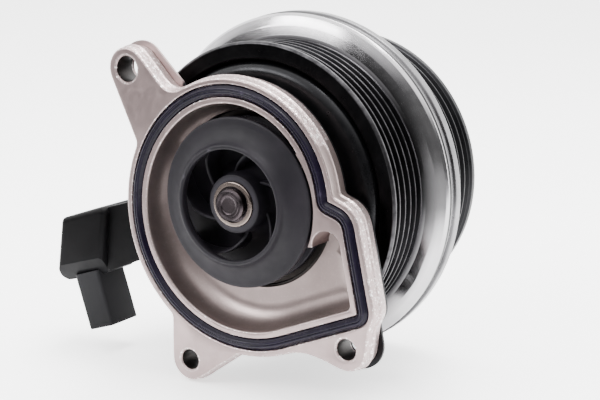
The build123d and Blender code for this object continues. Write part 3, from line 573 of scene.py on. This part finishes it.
def arc_slot_tool(r, width, sweep_deg, middle_deg, y0, y1):
    """Curved slot cutter about the shaft axis, with round ends."""
    a = math.radians(sweep_deg / 2)
    m = math.radians(middle_deg)
    line = []
    for k in range(25):
        t = m - a + 2 * a * k / 24
        line.append(((r + width / 2) * math.cos(t), (r + width / 2) * math.sin(t)))
    for end, side in ((m + a, 1), (m - a, -1)):
        centre = (r * math.cos(end), r * math.sin(end))
        for k in range(1, 12):
            t = end + (0 if side > 0 else math.pi) + math.pi * k / 12
            line.append((centre[0] + width / 2 * math.cos(t), centre[1] + width / 2 * math.sin(t)))
        if side > 0:
            for k in range(25):
                t = m + a - 2 * a * k / 24
                line.append(((r - width / 2) * math.cos(t), (r - width / 2) * math.sin(t)))
    return new_object("slot_tool", *stack_data([flat_ring(line, y0), flat_ring(line, y1)]))


BOLT_RING_R = 19.0


def bolt_centre(i):
    a = math.radians(90 + 120 * i)
    return BOLT_RING_R * math.cos(a), -BOLT_RING_R * math.sin(a)


def make_drive_pulley():
    first = 62.0 - 2.5 * RIB_PITCH
    profile = [(13.05, 51.0), (27.5, 51.0, 2.0), (30.5, 48.0, 2.0), (48.2, 48.0, 0.7),
               (49.0, 48.8, 0.4), (49.0, 50.8, 0.4), (48.2, 51.4, 0.3)]
    profile += rib_profile(first, 6, 48.2, 45.5)
    profile += [(48.2, 72.6, 0.3), (49.0, 73.2, 0.4), (49.0, 75.2, 0.4), (48.2, 76.0, 0.5),
                (43.6, 76.0, 0.5), (42.6, 75.0, 0.5), (42.6, 53.4, 1.6), (40.6, 51.4, 1.0),
                (31.6, 51.4, 1.5), (28.6, 54.4, 1.5), (13.05, 54.4, 0.4)]
    pulley = lathe("outer_belt_pulley", profile, 256)
    tools = [arc_slot_tool(36.0, 6.0, 26.0, 120.0 * i, 46.0, 56.0) for i in range(3)]
    hole = ((0, 49), (3.2, 49), (3.2, 56), (0, 56))
    tools += [lathes("bolt_hole", hole, (bolt_centre(i),), 40) for i in range(3)]
    return boolean(pulley, tools, "DIFFERENCE")


def make_drive_hub():
    return lathe("hub_flange", ((6.5, 46.4), (25.0, 46.4, 0.5), (25.0, 51.0, 0.3), (13.0, 51.0, 0.3),
                                (13.0, 56.8, 0.9), (8.2, 56.8, 0.3), (7.6, 56.2), (6.5, 56.2)), 128)


def make_bolts():
    """Flange bolts: turned collar, six-sided head with rounded corners, dished top."""
    parts = []
    for i in range(3):
        c = bolt_centre(i)
        parts.append(lathes("collar", ((0, 46.6), (2.5, 46.6, 0.3), (2.5, 54.4), (5.8, 54.4, 0.25),
                                       (5.8, 55.1, 0.3), (4.9, 55.9, 0.4), (0, 55.9)), (c,), 64))
        hexagon = [Vector(on_circle(5.3, 60 * k + 20)) for k in range(6)]
        line = []
        for k in range(6):
            line += corner_points(hexagon[k - 1], hexagon[k], hexagon[(k + 1) % 6], 0.5, 4)
        rings = []
        for y, scale in ((55.5, 1.0), (58.5, 1.0), (58.85, 0.975), (59.1, 0.92), (59.2, 0.86),
                         (59.2, 0.72), (58.9, 0.62), (58.75, 0.3)):
            rings.append([(c[0] + x * scale, y, c[1] + z * scale) for x, z in line])
        parts.append(new_object("head", *stack_data(rings)))
    return joined("hub_bolts", parts)


# ------------------------------------------------------------------ coil and connector

def make_coil_core():
    profile = [(29.4, 13.2, 0.8), (44.3, 13.2, 3.6), (44.3, 32.9, 0.3), (42.1, 32.9), (42.1, 15.8),
               (31.4, 15.8), (31.4, 32.9), (29.4, 32.9, 0.3)]
    return new_object("coil_shell", *lathe_data(rounded(profile, 8), 224))


BOX_CORNERS = ((-82.0, -6.8), (-60.8, -2.4), (-66.6, -27.2), (-88.2, -30.9))
BOX_Y = (7.4, 27.0)


def polygon_ring(corners, radius, shrink, count=8):
    """Convex polygon with filleted corners, moved inwards by shrink."""
    pts = [Vector(c) for c in corners]
    n = len(pts)
    area = sum(pts[i].x * pts[(i + 1) % n].y - pts[(i + 1) % n].x * pts[i].y for i in range(n))
    side = -shrink if area > 0 else shrink
    lines = [line_shift(pts[i], pts[(i + 1) % n], side) for i in range(n)]
    moved = [crossing(lines[i - 1], lines[i]) for i in range(n)]
    out = []
    for i in range(n):
        out += corner_points(moved[i - 1], moved[i], moved[(i + 1) % n], max(radius - shrink, 0.15), count)
    return out


def edge_levels(y0, y1, front, back):
    """(y, shrink) levels that round the front and back edges of a block."""
    levels = []
    for k in range(7):
        t = math.radians(15 * k)
        levels.append((y0 + front * (1 - math.sin(t)), front * (1 - math.cos(t))))
    levels.reverse()
    for k in range(7):
        t = math.radians(15 * k)
        levels.append((y1 - back * (1 - math.sin(t)), back * (1 - math.cos(t))))
    return levels


def block(name, corners, y0, y1, front, back, radius):
    rings = [flat_ring(polygon_ring(corners, radius, shrink), y)
             for y, shrink in edge_levels(y0, y1, front, back)]
    return new_object(name, *stack_data(rings))


def bevel_tool():
    """Wedge along the lower front edge of the connector box."""
    low_right, low_left = (Vector(corner) for corner in BOX_CORNERS[2:])
    along = (low_right - low_left).normalized()
    up = Vector((-along.y, along.x))
    back, height, over = 5.0, 6.2, 3.0
    section = ((-over, height + over * height / back), (-over, -over), (back + over * back / height, -over))
    rings = []
    for end in (low_left - over * along, low_right + over * along):
        rings.append([(end.x + n * up.x, BOX_Y[0] + y, end.y + n * up.y) for y, n in section])
    return new_object("bevel_tool", *stack_data(rings))


def make_connector():
    """Rounded box with a bevelled lower edge, flat arm to the coil and a hollow plug socket."""
    box = block("box", BOX_CORNERS, *BOX_Y, 2.0, 1.2, 2.2)
    arm = block("arm", ((-62.5, -3.2), (-39.6, 1.0), (-39.6, -17.0), (-45.0, -20.4), (-66.0, -26.5)),
                10.4, 13.15, 0.6, 0.4, 1.2)
    tilt = Matrix.Rotation(math.radians(-11.6), 4, "Y")
    top = Vector((-75.0, 17.1, -29.0))

    def level(z, width, depth, radius):
        half_w, half_d = width / 2, depth / 2
        corners = ((-half_w, -half_d), (half_w, -half_d), (half_w, half_d), (-half_w, half_d))
        ring = polygon_ring(corners, radius, 0.0, 6)
        return [tuple(top + tilt @ Vector((x, y, z))) for x, y in ring]

    rings = [level(2.0, 11.3, 14.5, 1.2), level(-17.9, 11.3, 14.5, 1.2), level(-18.25, 11.1, 14.3, 1.1),
             level(-18.4, 10.7, 13.9, 0.9), level(-18.4, 8.9, 12.1, 0.8), level(-18.2, 8.5, 11.7, 0.7),
             level(-17.8, 8.3, 11.5, 0.6), level(-5.2, 8.3, 11.5, 0.6), level(-5.0, 8.1, 11.3, 0.5)]
    shell = new_object("shell", *stack_data(rings))
    box = boolean(box, [bevel_tool()], "DIFFERENCE")
    return joined("connector_moulding", [box, arm, shell])


# ------------------------------------------------------------------ materials

# Sockets of a Mix node by position, as their names repeat
COLOUR_A, COLOUR_B, COLOUR_OUT = 6, 7, 2
FLOAT_A, FLOAT_B, FLOAT_OUT = 2, 3, 0


class Nodes:
    """Small helper that builds a node tree on a principled shader."""

    def __init__(self, name, **values):
        self.material = bpy.data.materials.new(name)
        self.material.use_nodes = True
        self.tree = self.material.node_tree
        self.shader = self.tree.nodes["Principled BSDF"]
        for key, value in values.items():
            self.shader.inputs[key.replace("_", " ")].default_value = value
        self.place = self.add("ShaderNodeTexCoord").outputs["Object"]

    def add(self, kind, **settings):
        node = self.tree.nodes.new(kind)
        for key, value in settings.items():
            setattr(node, key, value)
        return node

    def link(self, source, target):
        self.tree.links.new(source, target)

    def noise(self, scale, detail=3.0, rough=0.55, stretch=None):
        node = self.add("ShaderNodeTexNoise")
        node.inputs["Scale"].default_value = scale
        node.inputs["Detail"].default_value = detail
        node.inputs["Roughness"].default_value = rough
        place = self.place
        if stretch:
            mapping = self.add("ShaderNodeMapping")
            mapping.inputs["Scale"].default_value = stretch
            self.link(place, mapping.inputs["Vector"])
            place = mapping.outputs["Vector"]
        self.link(place, node.inputs["Vector"])
        return node.outputs["Fac"]

    def rings(self, scale, distortion=0.0):
        """Turning marks: rings about the shaft axis."""
        node = self.add("ShaderNodeTexWave", wave_type="RINGS", rings_direction="Y")
        node.inputs["Scale"].default_value = scale
        node.inputs["Distortion"].default_value = distortion
        node.inputs["Detail"].default_value = 2.0
        self.link(self.place, node.inputs["Vector"])
        return node.outputs["Fac"]

    def radius(self):
        """Distance from the shaft axis in metres."""
        split = self.add("ShaderNodeSeparateXYZ")
        self.link(self.place, split.inputs[0])
        joinx = self.add("ShaderNodeCombineXYZ")
        self.link(split.outputs["X"], joinx.inputs["X"])
        self.link(split.outputs["Z"], joinx.inputs["Z"])
        length = self.add("ShaderNodeVectorMath", operation="LENGTH")
        self.link(joinx.outputs[0], length.inputs[0])
        return length.outputs["Value"]

    def depth(self):
        """Position along the shaft axis in metres."""
        split = self.add("ShaderNodeSeparateXYZ")
        self.link(self.place, split.inputs[0])
        return split.outputs["Y"]

    def ramp(self, source, *stops):
        node = self.add("ShaderNodeValToRGB")
        elements = node.color_ramp.elements
        while len(elements) < len(stops):
            elements.new(0.5)
        for element, (position, colour) in zip(elements, stops):
            element.position = position
            element.color = (*colour, 1.0)
        self.link(source, node.inputs["Fac"])
        return node.outputs["Color"]

    def span(self, source, low, high, to_low, to_high):
        node = self.add("ShaderNodeMapRange")
        for key, value in (("From Min", low), ("From Max", high), ("To Min", to_low), ("To Max", to_high)):
            node.inputs[key].default_value = value
        self.link(source, node.inputs["Value"])
        return node.outputs["Result"]

    def math(self, operation, a, b):
        node = self.add("ShaderNodeMath", operation=operation)
        for socket, value in zip(node.inputs, (a, b)):
            if isinstance(value, (int, float)):
                socket.default_value = value
            else:
                self.link(value, socket)
        return node.outputs[0]

    def mix(self, factor, a, b):
        node = self.add("ShaderNodeMix", data_type="RGBA")
        self.link(factor, node.inputs["Factor"])
        for socket, value in ((node.inputs[COLOUR_A], a), (node.inputs[COLOUR_B], b)):
            if isinstance(value, tuple):
                socket.default_value = (*value, 1.0)
            else:
                self.link(value, socket)
        return node.outputs[COLOUR_OUT]

    def colour(self, source):
        self.link(source, self.shader.inputs["Base Color"])

    def rough(self, source):
        self.link(source, self.shader.inputs["Roughness"])

    def bump(self, *layers):
        """Each layer is (height source, strength, distance in mm)."""
        normal = None
        for source, strength, distance in layers:
            node = self.add("ShaderNodeBump")
            node.inputs["Strength"].default_value = strength
            node.inputs["Distance"].default_value = distance * MM
            self.link(source, node.inputs["Height"])
            if normal:
                self.link(normal, node.inputs["Normal"])
            normal = node.outputs["Normal"]
        self.link(normal, self.shader.inputs["Normal"])

    def pointiness(self, low, high):
        """0 on flat faces, 1 on outward edges."""
        geometry = self.add("ShaderNodeNewGeometry")
        return self.span(geometry.outputs["Pointiness"], low, high, 0.0, 1.0)


def cast_metal(name, light, dark, rough, grain, glitter):
    """Die-cast aluminium: blotched tone, shot-blasted grain with sparkle."""
    m = Nodes(name, Metallic=0.85)
    blotch = m.noise(55, 4, 0.6)
    speck = m.noise(1100, 2, 0.7)
    tone = m.ramp(blotch, (0.3, dark), (0.7, light))
    sparkle = m.span(speck, 0.56, 0.68, 0.0, glitter)
    m.colour(m.mix(sparkle, tone, (0.92, 0.9, 0.88)))
    m.rough(m.span(speck, 0.3, 0.7, rough + 0.03, rough - 0.02 - 0.1 * glitter))
    m.bump((m.noise(650, 3, 0.7), grain, 0.4), (m.noise(90, 3), grain * 0.35, 0.3))
    return m.material


def machined_metal(name, light, dark, rough, metallic, ring_scale, ring_bump):
    """Turned metal: rings about the shaft axis over a soft tone change."""
    m = Nodes(name, Metallic=metallic)
    rings = m.rings(ring_scale, 0.6)
    fine = m.noise(420, 3, 0.6)
    m.colour(m.ramp(m.noise(70, 4, 0.6), (0.3, dark), (0.72, light)))
    m.rough(m.span(fine, 0.3, 0.7, rough - 0.05, rough + 0.07))
    m.bump((rings, ring_bump, 0.05), (fine, ring_bump * 0.4, 0.03))
    return m.material


def moulded(name, light, dark, rough, grain, painted_edge_highlight=(0.2, 0.2, 0.2), gloss=0.3):
    """Moulded plastic or rubber: soft tone change, fine skin, outward edges painted lighter as a painted
    highlight.
    """
    m = Nodes(name, Specular_IOR_Level=gloss)
    tone = m.ramp(m.noise(65, 5, 0.62), (0.32, dark), (0.7, light))
    # Outward edges mixed towards a lighter colour: a painted highlight.
    edge = m.pointiness(0.53, 0.6)
    m.colour(m.mix(m.math("MULTIPLY", edge, 0.35), tone, painted_edge_highlight))
    m.rough(m.span(m.noise(240, 4, 0.6), 0.3, 0.7, rough - 0.06, rough + 0.1))
    m.bump((m.noise(1300, 2, 0.6), grain, 0.05), (m.noise(120, 3), grain * 0.8, 0.12))
    return m.material


def coated_steel(name, light, dark, rough, worn, wear_from, wear_to):
    """Black coated steel with turning marks, rubbed through on its crests."""
    m = Nodes(name, Metallic=0.75)
    tone = m.ramp(m.noise(60, 5, 0.65), (0.3, dark), (0.72, light))
    scuff = m.noise(300, 4, 0.7, (1.0, 0.25, 1.0))
    edge = m.pointiness(wear_from, wear_to)
    worn_mask = m.math("MULTIPLY", edge, m.span(scuff, 0.35, 0.6, 0.25, 1.0))
    m.colour(m.mix(worn_mask, tone, worn))
    m.rough(m.span(m.noise(180, 4), 0.3, 0.7, rough - 0.06, rough + 0.1))
    m.bump((m.rings(200, 0.8), 0.08, 0.04), (m.noise(900, 2), 0.05, 0.03))
    return m.material


CAST_SIDE = cast_metal("cast_blasted", (0.42, 0.33, 0.325), (0.33, 0.26, 0.255), 0.4, 0.8, 0.9)
CAST_FLOOR = cast_metal("cast_smooth", (0.26, 0.208, 0.2), (0.19, 0.15, 0.143), 0.36, 0.08, 0.03)
# Near-black cast metal for bores, holes and the recess: painted shade.
BORE_SHADE = cast_metal("bore_painted_shade", (0.032, 0.027, 0.025), (0.016, 0.0135, 0.0125), 0.45, 0.1, 0.0)
FACE = machined_metal("machined_face", (0.33, 0.258, 0.253), (0.24, 0.186, 0.183), 0.36, 0.9, 150, 0.05)
SEAL = moulded("seal_rubber", (0.006, 0.004, 0.0115), (0.003, 0.002, 0.006), 0.22, 0.02,
               (0.05, 0.04, 0.07), 0.13)
IMPELLER = moulded("impeller_resin", (0.012, 0.0102, 0.0135), (0.006, 0.0053, 0.0075), 0.5, 0.14,
                   (0.08, 0.075, 0.09), 0.16)
PLASTIC = moulded("connector_resin", (0.003, 0.0028, 0.0032), (0.0012, 0.0012, 0.0014), 0.42, 0.16,
                  (0.06, 0.06, 0.065), 0.05)
BUSH = machined_metal("bush_steel", (0.24, 0.195, 0.175), (0.12, 0.097, 0.088), 0.24, 1.0, 900, 0.2)
SHAFT = machined_metal("shaft_steel", (0.055, 0.045, 0.049), (0.03, 0.025, 0.027), 0.24, 1.0, 700, 0.15)
BLACK = coated_steel("black_coat", (0.009, 0.009, 0.0102), (0.003, 0.003, 0.004), 0.3,
                     (0.022, 0.022, 0.023), 0.54, 0.62)
ZINC = machined_metal("zinc_plate", (0.34, 0.34, 0.355), (0.2, 0.2, 0.21), 0.32, 1.0, 500, 0.1)
BEARING = machined_metal("bearing_steel", (0.7, 0.7, 0.71), (0.55, 0.55, 0.56), 0.2, 1.0, 600, 0.08)
SPRING = machined_metal("spring_strip", (0.4, 0.42, 0.46), (0.28, 0.28, 0.32), 0.3, 1.0, 120, 0.06)
COPPER = machined_metal("enamelled_copper", (0.7, 0.3, 0.14), (0.45, 0.18, 0.08), 0.3, 0.9, 1500, 0.4)
CERAMIC = moulded("seal_ceramic", (0.08, 0.08, 0.085), (0.04, 0.04, 0.045), 0.25, 0.05)
FRICTION = moulded("friction_bond", (0.12, 0.1, 0.08), (0.05, 0.04, 0.035), 0.8, 0.6)


def pulley_steel():
    """Clutch pulley: dark ribs rubbed bright on the crests, a polished cone and flange behind; the cone is
    painted darker next to the ribs as a painted reflection, and a dark line of painted shade marks the air
    gap at the back of the flange.
    """
    m = Nodes("clutch_pulley_steel", Metallic=1.0)
    y = m.depth()
    r = m.radius()
    polished = m.span(y, 0.03345, 0.0338, 0.0, 1.0)
    crest = m.span(r, 0.04985, 0.05, 0.0, 1.0)
    dark = m.ramp(m.noise(80, 5, 0.65), (0.3, (0.003, 0.003, 0.0034)), (0.72, (0.009, 0.0088, 0.0096)))
    scuff = m.span(m.noise(260, 4, 0.7, (1.0, 0.3, 1.0)), 0.35, 0.65, 0.25, 0.9)
    ribs = m.mix(m.math("MULTIPLY", crest, scuff), dark, (0.07, 0.068, 0.072))
    bright = m.ramp(m.noise(45, 4, 0.6), (0.3, (0.38, 0.37, 0.385)), (0.7, (0.5, 0.49, 0.5)))
    # The cone darkens towards the ribs: a painted reflection of the dark ribs.
    cone_with_painted_reflection = m.mix(m.span(r, 0.0503, 0.056, 0.0, 1.0), (0.03, 0.029, 0.031), bright)
    # A thin dark band on the back of the flange at the air gap: painted shade.
    rim = m.mix(m.span(y, 0.0377, 0.0379, 0.0, 1.0), cone_with_painted_reflection, (0.012, 0.012, 0.013))
    m.colour(m.mix(polished, ribs, rim))
    fine = m.noise(350, 3, 0.6)
    dull = m.span(fine, 0.3, 0.7, 0.26, 0.4)
    glossy = m.span(fine, 0.3, 0.7, 0.13, 0.19)
    shine = m.add("ShaderNodeMix", data_type="FLOAT")
    m.link(polished, shine.inputs["Factor"])
    m.link(dull, shine.inputs[FLOAT_A])
    m.link(glossy, shine.inputs[FLOAT_B])
    m.rough(shine.outputs[FLOAT_OUT])
    m.bump((m.rings(900, 0.3), 0.06, 0.02), (fine, 0.03, 0.02))
    return m.material


def armature_steel():
    """Turned steel, with painted shade on the face at the air gap and in the step of the rim."""
    m = Nodes("armature_steel", Metallic=1.0)
    bright = m.ramp(m.noise(70, 4, 0.6), (0.3, (0.12, 0.118, 0.122)), (0.72, (0.22, 0.216, 0.224)))
    y = m.depth()
    # Darker on the face at the air gap and in the step of the rim: painted shade.
    gap = m.span(y, 0.0397, 0.04, 1.0, 0.0)
    step = m.math("MULTIPLY", m.span(y, 0.0411, 0.0413, 0.0, 0.6), m.span(y, 0.0416, 0.0418, 1.0, 0.0))
    m.colour(m.mix(m.math("MAXIMUM", gap, step), bright, (0.012, 0.012, 0.013)))
    fine = m.noise(420, 3, 0.6)
    m.rough(m.span(fine, 0.3, 0.7, 0.2, 0.3))
    m.bump((m.rings(900, 0.2), 0.06, 0.02), (fine, 0.04, 0.02))
    return m.material


PULLEY = pulley_steel()
ARMATURE = armature_steel()


def bracket_steel():
    """Black coated sheet, coloured as bare metal behind the upper ear to stand in for a thicker ear."""
    m = Nodes("bracket_coat", Metallic=0.85)
    ear_x, ear_z = EARS[0][0]
    ear = STAND @ Vector((ear_x, 9.5, ear_z)) * MM
    reach = m.add("ShaderNodeVectorMath", operation="DISTANCE")
    m.link(m.place, reach.inputs[0])
    reach.inputs[1].default_value = ear
    bare = m.span(reach.outputs["Value"], 0.0165, 0.0175, 1.0, 0.0)
    tone = m.ramp(m.noise(55, 4, 0.6), (0.3, (0.33, 0.26, 0.255)), (0.7, (0.42, 0.33, 0.325)))
    m.colour(m.mix(bare, (0.008, 0.008, 0.009), tone))
    m.rough(m.span(m.noise(300, 3), 0.3, 0.7, 0.36, 0.46))
    m.bump((m.noise(650, 3, 0.7), 0.3, 0.2))
    return m.material


BRACKET = bracket_steel()


def paint(obj, material):
    obj.data.materials.clear()
    obj.data.materials.append(material)


SIDE_SLOT, FLOOR_SLOT, FACE_SLOT, BORE_SLOT = range(4)


def paint_housing(obj):
    """Blasted outside, smooth passages, machined sealing land; bores, holes and the recess floor in a
    near-black material as painted shade.
    """
    obj.data.materials.clear()
    for material in (CAST_SIDE, CAST_FLOOR, FACE, BORE_SHADE):
        obj.data.materials.append(material)
    back = STAND.inverted()
    turn_back = back.to_3x3()
    for polygon in obj.data.polygons:
        centre = back @ Vector(polygon.center) / MM
        across = turn_back @ Vector(polygon.normal)
        flat = Vector((centre.x, centre.z))
        inside = flat.length < 30.0 or (
            centre.y > 0.2 and ((flat - LARGE_C).length < LARGE_R - 3.0
                                or (flat.x > 20 and abs(flat.y + 22) < 17 and flat.x < 40.5)))
        bored = centre.y > 1.0 and abs(across.y) < 0.3 and (
            28.9 < flat.length < 29.7 or (centre.y > 9.7 and abs((flat - POCKET).length - RECESS_R) < 0.4))
        drilled = abs(across.y) < 0.3 and any(
            (flat - Vector(ear[0])).length < r + 0.35 for ear, r in zip(EARS, EAR_HOLES))
        # Bores, drilled holes and the floor of the recess get the near-black material: painted shade.
        if bored or drilled or (11.3 < centre.y < 12.6 and flat.length < 31.0):
            polygon.material_index = BORE_SLOT
        elif polygon.normal.y < -0.98 and centre.y < 0.05:
            polygon.material_index = FACE_SLOT
        elif inside and centre.y < 12.5:
            polygon.material_index = FLOOR_SLOT
        else:
            polygon.material_index = SIDE_SLOT


# ------------------------------------------------------------------ pieces on their bodies

def piece(obj, body, slot, material, *nodes):
    """Paint a piece, hide the CAD parts it replaces and attach it to its body; a material of None keeps
    what it has.
    """
    if material:
        paint(obj, material)
    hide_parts(*nodes)
    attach(obj, body)


housing = make_housing()
paint_housing(housing)
piece(housing, "pump_body", "cast_aluminium", None, "pump_housing")
piece(make_seal(), "pump_body", "seal_rubber", SEAL, "housing_seal")
piece(make_coil_core(), "pump_body", "black_steel", BLACK, "coil_core")
piece(make_connector(), "pump_body", "black_plastic", PLASTIC, "connector_body")
piece(make_shroud(), "pump_rotor", "impeller_plastic", IMPELLER, "impeller_shroud")
piece(make_wheel(), "pump_rotor", "impeller_plastic", IMPELLER, "impeller_wheel")
piece(make_bush(), "pump_rotor", "shaft_steel", BUSH, "impeller_bush")
piece(make_shaft(), "pump_rotor", "shaft_steel", SHAFT, "pump_shaft")
piece(make_drive_hub(), "pump_rotor", "zinc_steel", ZINC, "drive_hub")
piece(make_drive_pulley(), "pump_rotor", "black_steel", BLACK, "drive_pulley")
piece(make_bolts(), "pump_rotor", "zinc_steel", ZINC, "drive_bolts")
piece(make_armature(), "armature", "armature_steel", ARMATURE, "armature_plate")
piece(make_clutch_pulley(), "clutch_rotor", "rotor_steel", PULLEY, "rotor_pulley")

KEPT = {
    "seal_cup": ZINC, "seal_stationary_ring": CERAMIC, "seal_bellows": SEAL, "seal_spring": SPRING,
    "shaft_bearing_ring": BEARING, "shaft_bearing_seals": SEAL, "rotor_bearing_inner_ring": BEARING,
    "nose_circlip": SPRING, "coil_bobbin": PLASTIC, "coil_winding": COPPER, "coil_potting": PLASTIC,
    "coil_plate": ZINC, "coil_screws": ZINC, "back_plate": BRACKET, "connector_terminals": COPPER,
    "friction_lining": FRICTION, "rotor_bearing_outer_ring": BEARING, "rotor_bearing_seals": SEAL,
    "rotor_bearing_clip": SPRING, "rotor_bearing_balls": BEARING, "rotor_bearing_cages": PLASTIC,
    "shaft_bearing_balls": BEARING, "shaft_bearing_cages": PLASTIC, "seal_rotating_ring": CERAMIC,
    "leaf_springs": SPRING, "pulley_rivets": ZINC, "armature_rivets": ZINC,
}
for node, material in KEPT.items():
    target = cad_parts[node]
    for slot_index in range(len(target.material_slots)):
        target.material_slots[slot_index].material = material


# ------------------------------------------------------------------ stage, light and camera

def stage_mesh(name, verts, faces, material):
    mesh = bpy.data.meshes.new(name)
    mesh.from_pydata(verts, [], faces)
    obj = bpy.data.objects.new(name, mesh)
    bpy.context.scene.collection.objects.link(obj)
    mesh.materials.append(material)
    return obj


# The floor is dark in front of the object and glows with its own tone, for the reflections in the metal
floor_paint = Nodes("floor_paint", Roughness=0.55)
floor_pale = floor_paint.ramp(floor_paint.noise(3, 2), (0.3, (0.9, 0.9, 0.9)), (0.7, (0.93, 0.93, 0.93)))
floor_front = floor_paint.span(floor_paint.depth(), -0.17, -0.05, 1.0, 0.0)
floor_tone = floor_paint.mix(floor_front, floor_pale, (0.12, 0.12, 0.12))
floor_paint.colour(floor_tone)
floor_paint.link(floor_tone, floor_paint.shader.inputs["Emission Color"])
floor_paint.shader.inputs["Emission Strength"].default_value = 1.2
floor_z = cad_box[0][2] - 0.0002
FAR = 3.0
floor_corners = [(x * FAR, y * FAR, floor_z) for x, y in ((-1, -1), (1, -1), (1, 1), (-1, 1))]
stage_mesh("floor", floor_corners, [(0, 1, 2, 3)], floor_paint.material)


def studio_world(strength, front_share):
    """Even white surround, dimmer low down on the photographer's side."""
    world = bpy.data.worlds.new("studio")
    bpy.context.scene.world = world
    world.use_nodes = True
    tree = world.node_tree
    place = tree.nodes.new("ShaderNodeTexCoord").outputs["Generated"]

    def lean(direction, low, high):
        dot = tree.nodes.new("ShaderNodeVectorMath")
        dot.operation = "DOT_PRODUCT"
        dot.inputs[1].default_value = direction
        tree.links.new(place, dot.inputs[0])
        span = tree.nodes.new("ShaderNodeMapRange")
        span.interpolation_type = "SMOOTHSTEP"
        span.inputs["From Min"].default_value = low
        span.inputs["From Max"].default_value = high
        tree.links.new(dot.outputs["Value"], span.inputs["Value"])
        return span.outputs["Result"]

    both = tree.nodes.new("ShaderNodeMath")
    both.operation = "MULTIPLY"
    tree.links.new(lean((0.42, -0.9, 0.0), -0.35, 0.35), both.inputs[0])
    tree.links.new(lean((0.0, 0.0, -1.0), -0.85, -0.35), both.inputs[1])
    tone = tree.nodes.new("ShaderNodeMix")
    tone.data_type = "RGBA"
    tone.inputs[COLOUR_A].default_value = (1.0, 1.0, 1.0, 1.0)
    tone.inputs[COLOUR_B].default_value = (front_share, front_share, front_share, 1.0)
    tree.links.new(both.outputs[0], tone.inputs["Factor"])
    background = tree.nodes["Background"]
    background.inputs["Strength"].default_value = strength
    tree.links.new(tone.outputs[COLOUR_OUT], background.inputs["Color"])


studio_world(4.0, 0.05)


def area_light(name, place, target, width, height, power):
    data = bpy.data.lights.new(name, "AREA")
    data.shape = "RECTANGLE"
    data.size = width
    data.size_y = height
    data.energy = power
    obj = bpy.data.objects.new(name, data)
    bpy.context.scene.collection.objects.link(obj)
    obj.location = place
    obj.rotation_euler = (Vector(target) - Vector(place)).to_track_quat("-Z", "Y").to_euler()


area_light("key", (-0.55, -0.8, 0.6), (0, 0, 0), 0.5, 0.4, 12.0)
area_light("top", (0.1, 0.15, 0.9), (0, 0.03, 0), 0.7, 0.4, 22.0)
area_light("right", (0.95, 0.1, 0.25), (0, 0.03, 0), 0.25, 0.6, 5.0)

camera_data = bpy.data.cameras.new("camera")
camera_data.lens = 90.0
camera_data.sensor_width = 36.0
camera_data.clip_start = 0.01
camera = bpy.data.objects.new("camera", camera_data)
bpy.context.scene.collection.objects.link(camera)
forward = Vector((-0.5204, 0.8261, -0.2164)).normalized()
camera.location = (0.2687, -0.3870, 0.1056)
camera.rotation_euler = forward.to_track_quat("-Z", "Y").to_euler()
bpy.context.scene.camera = camera
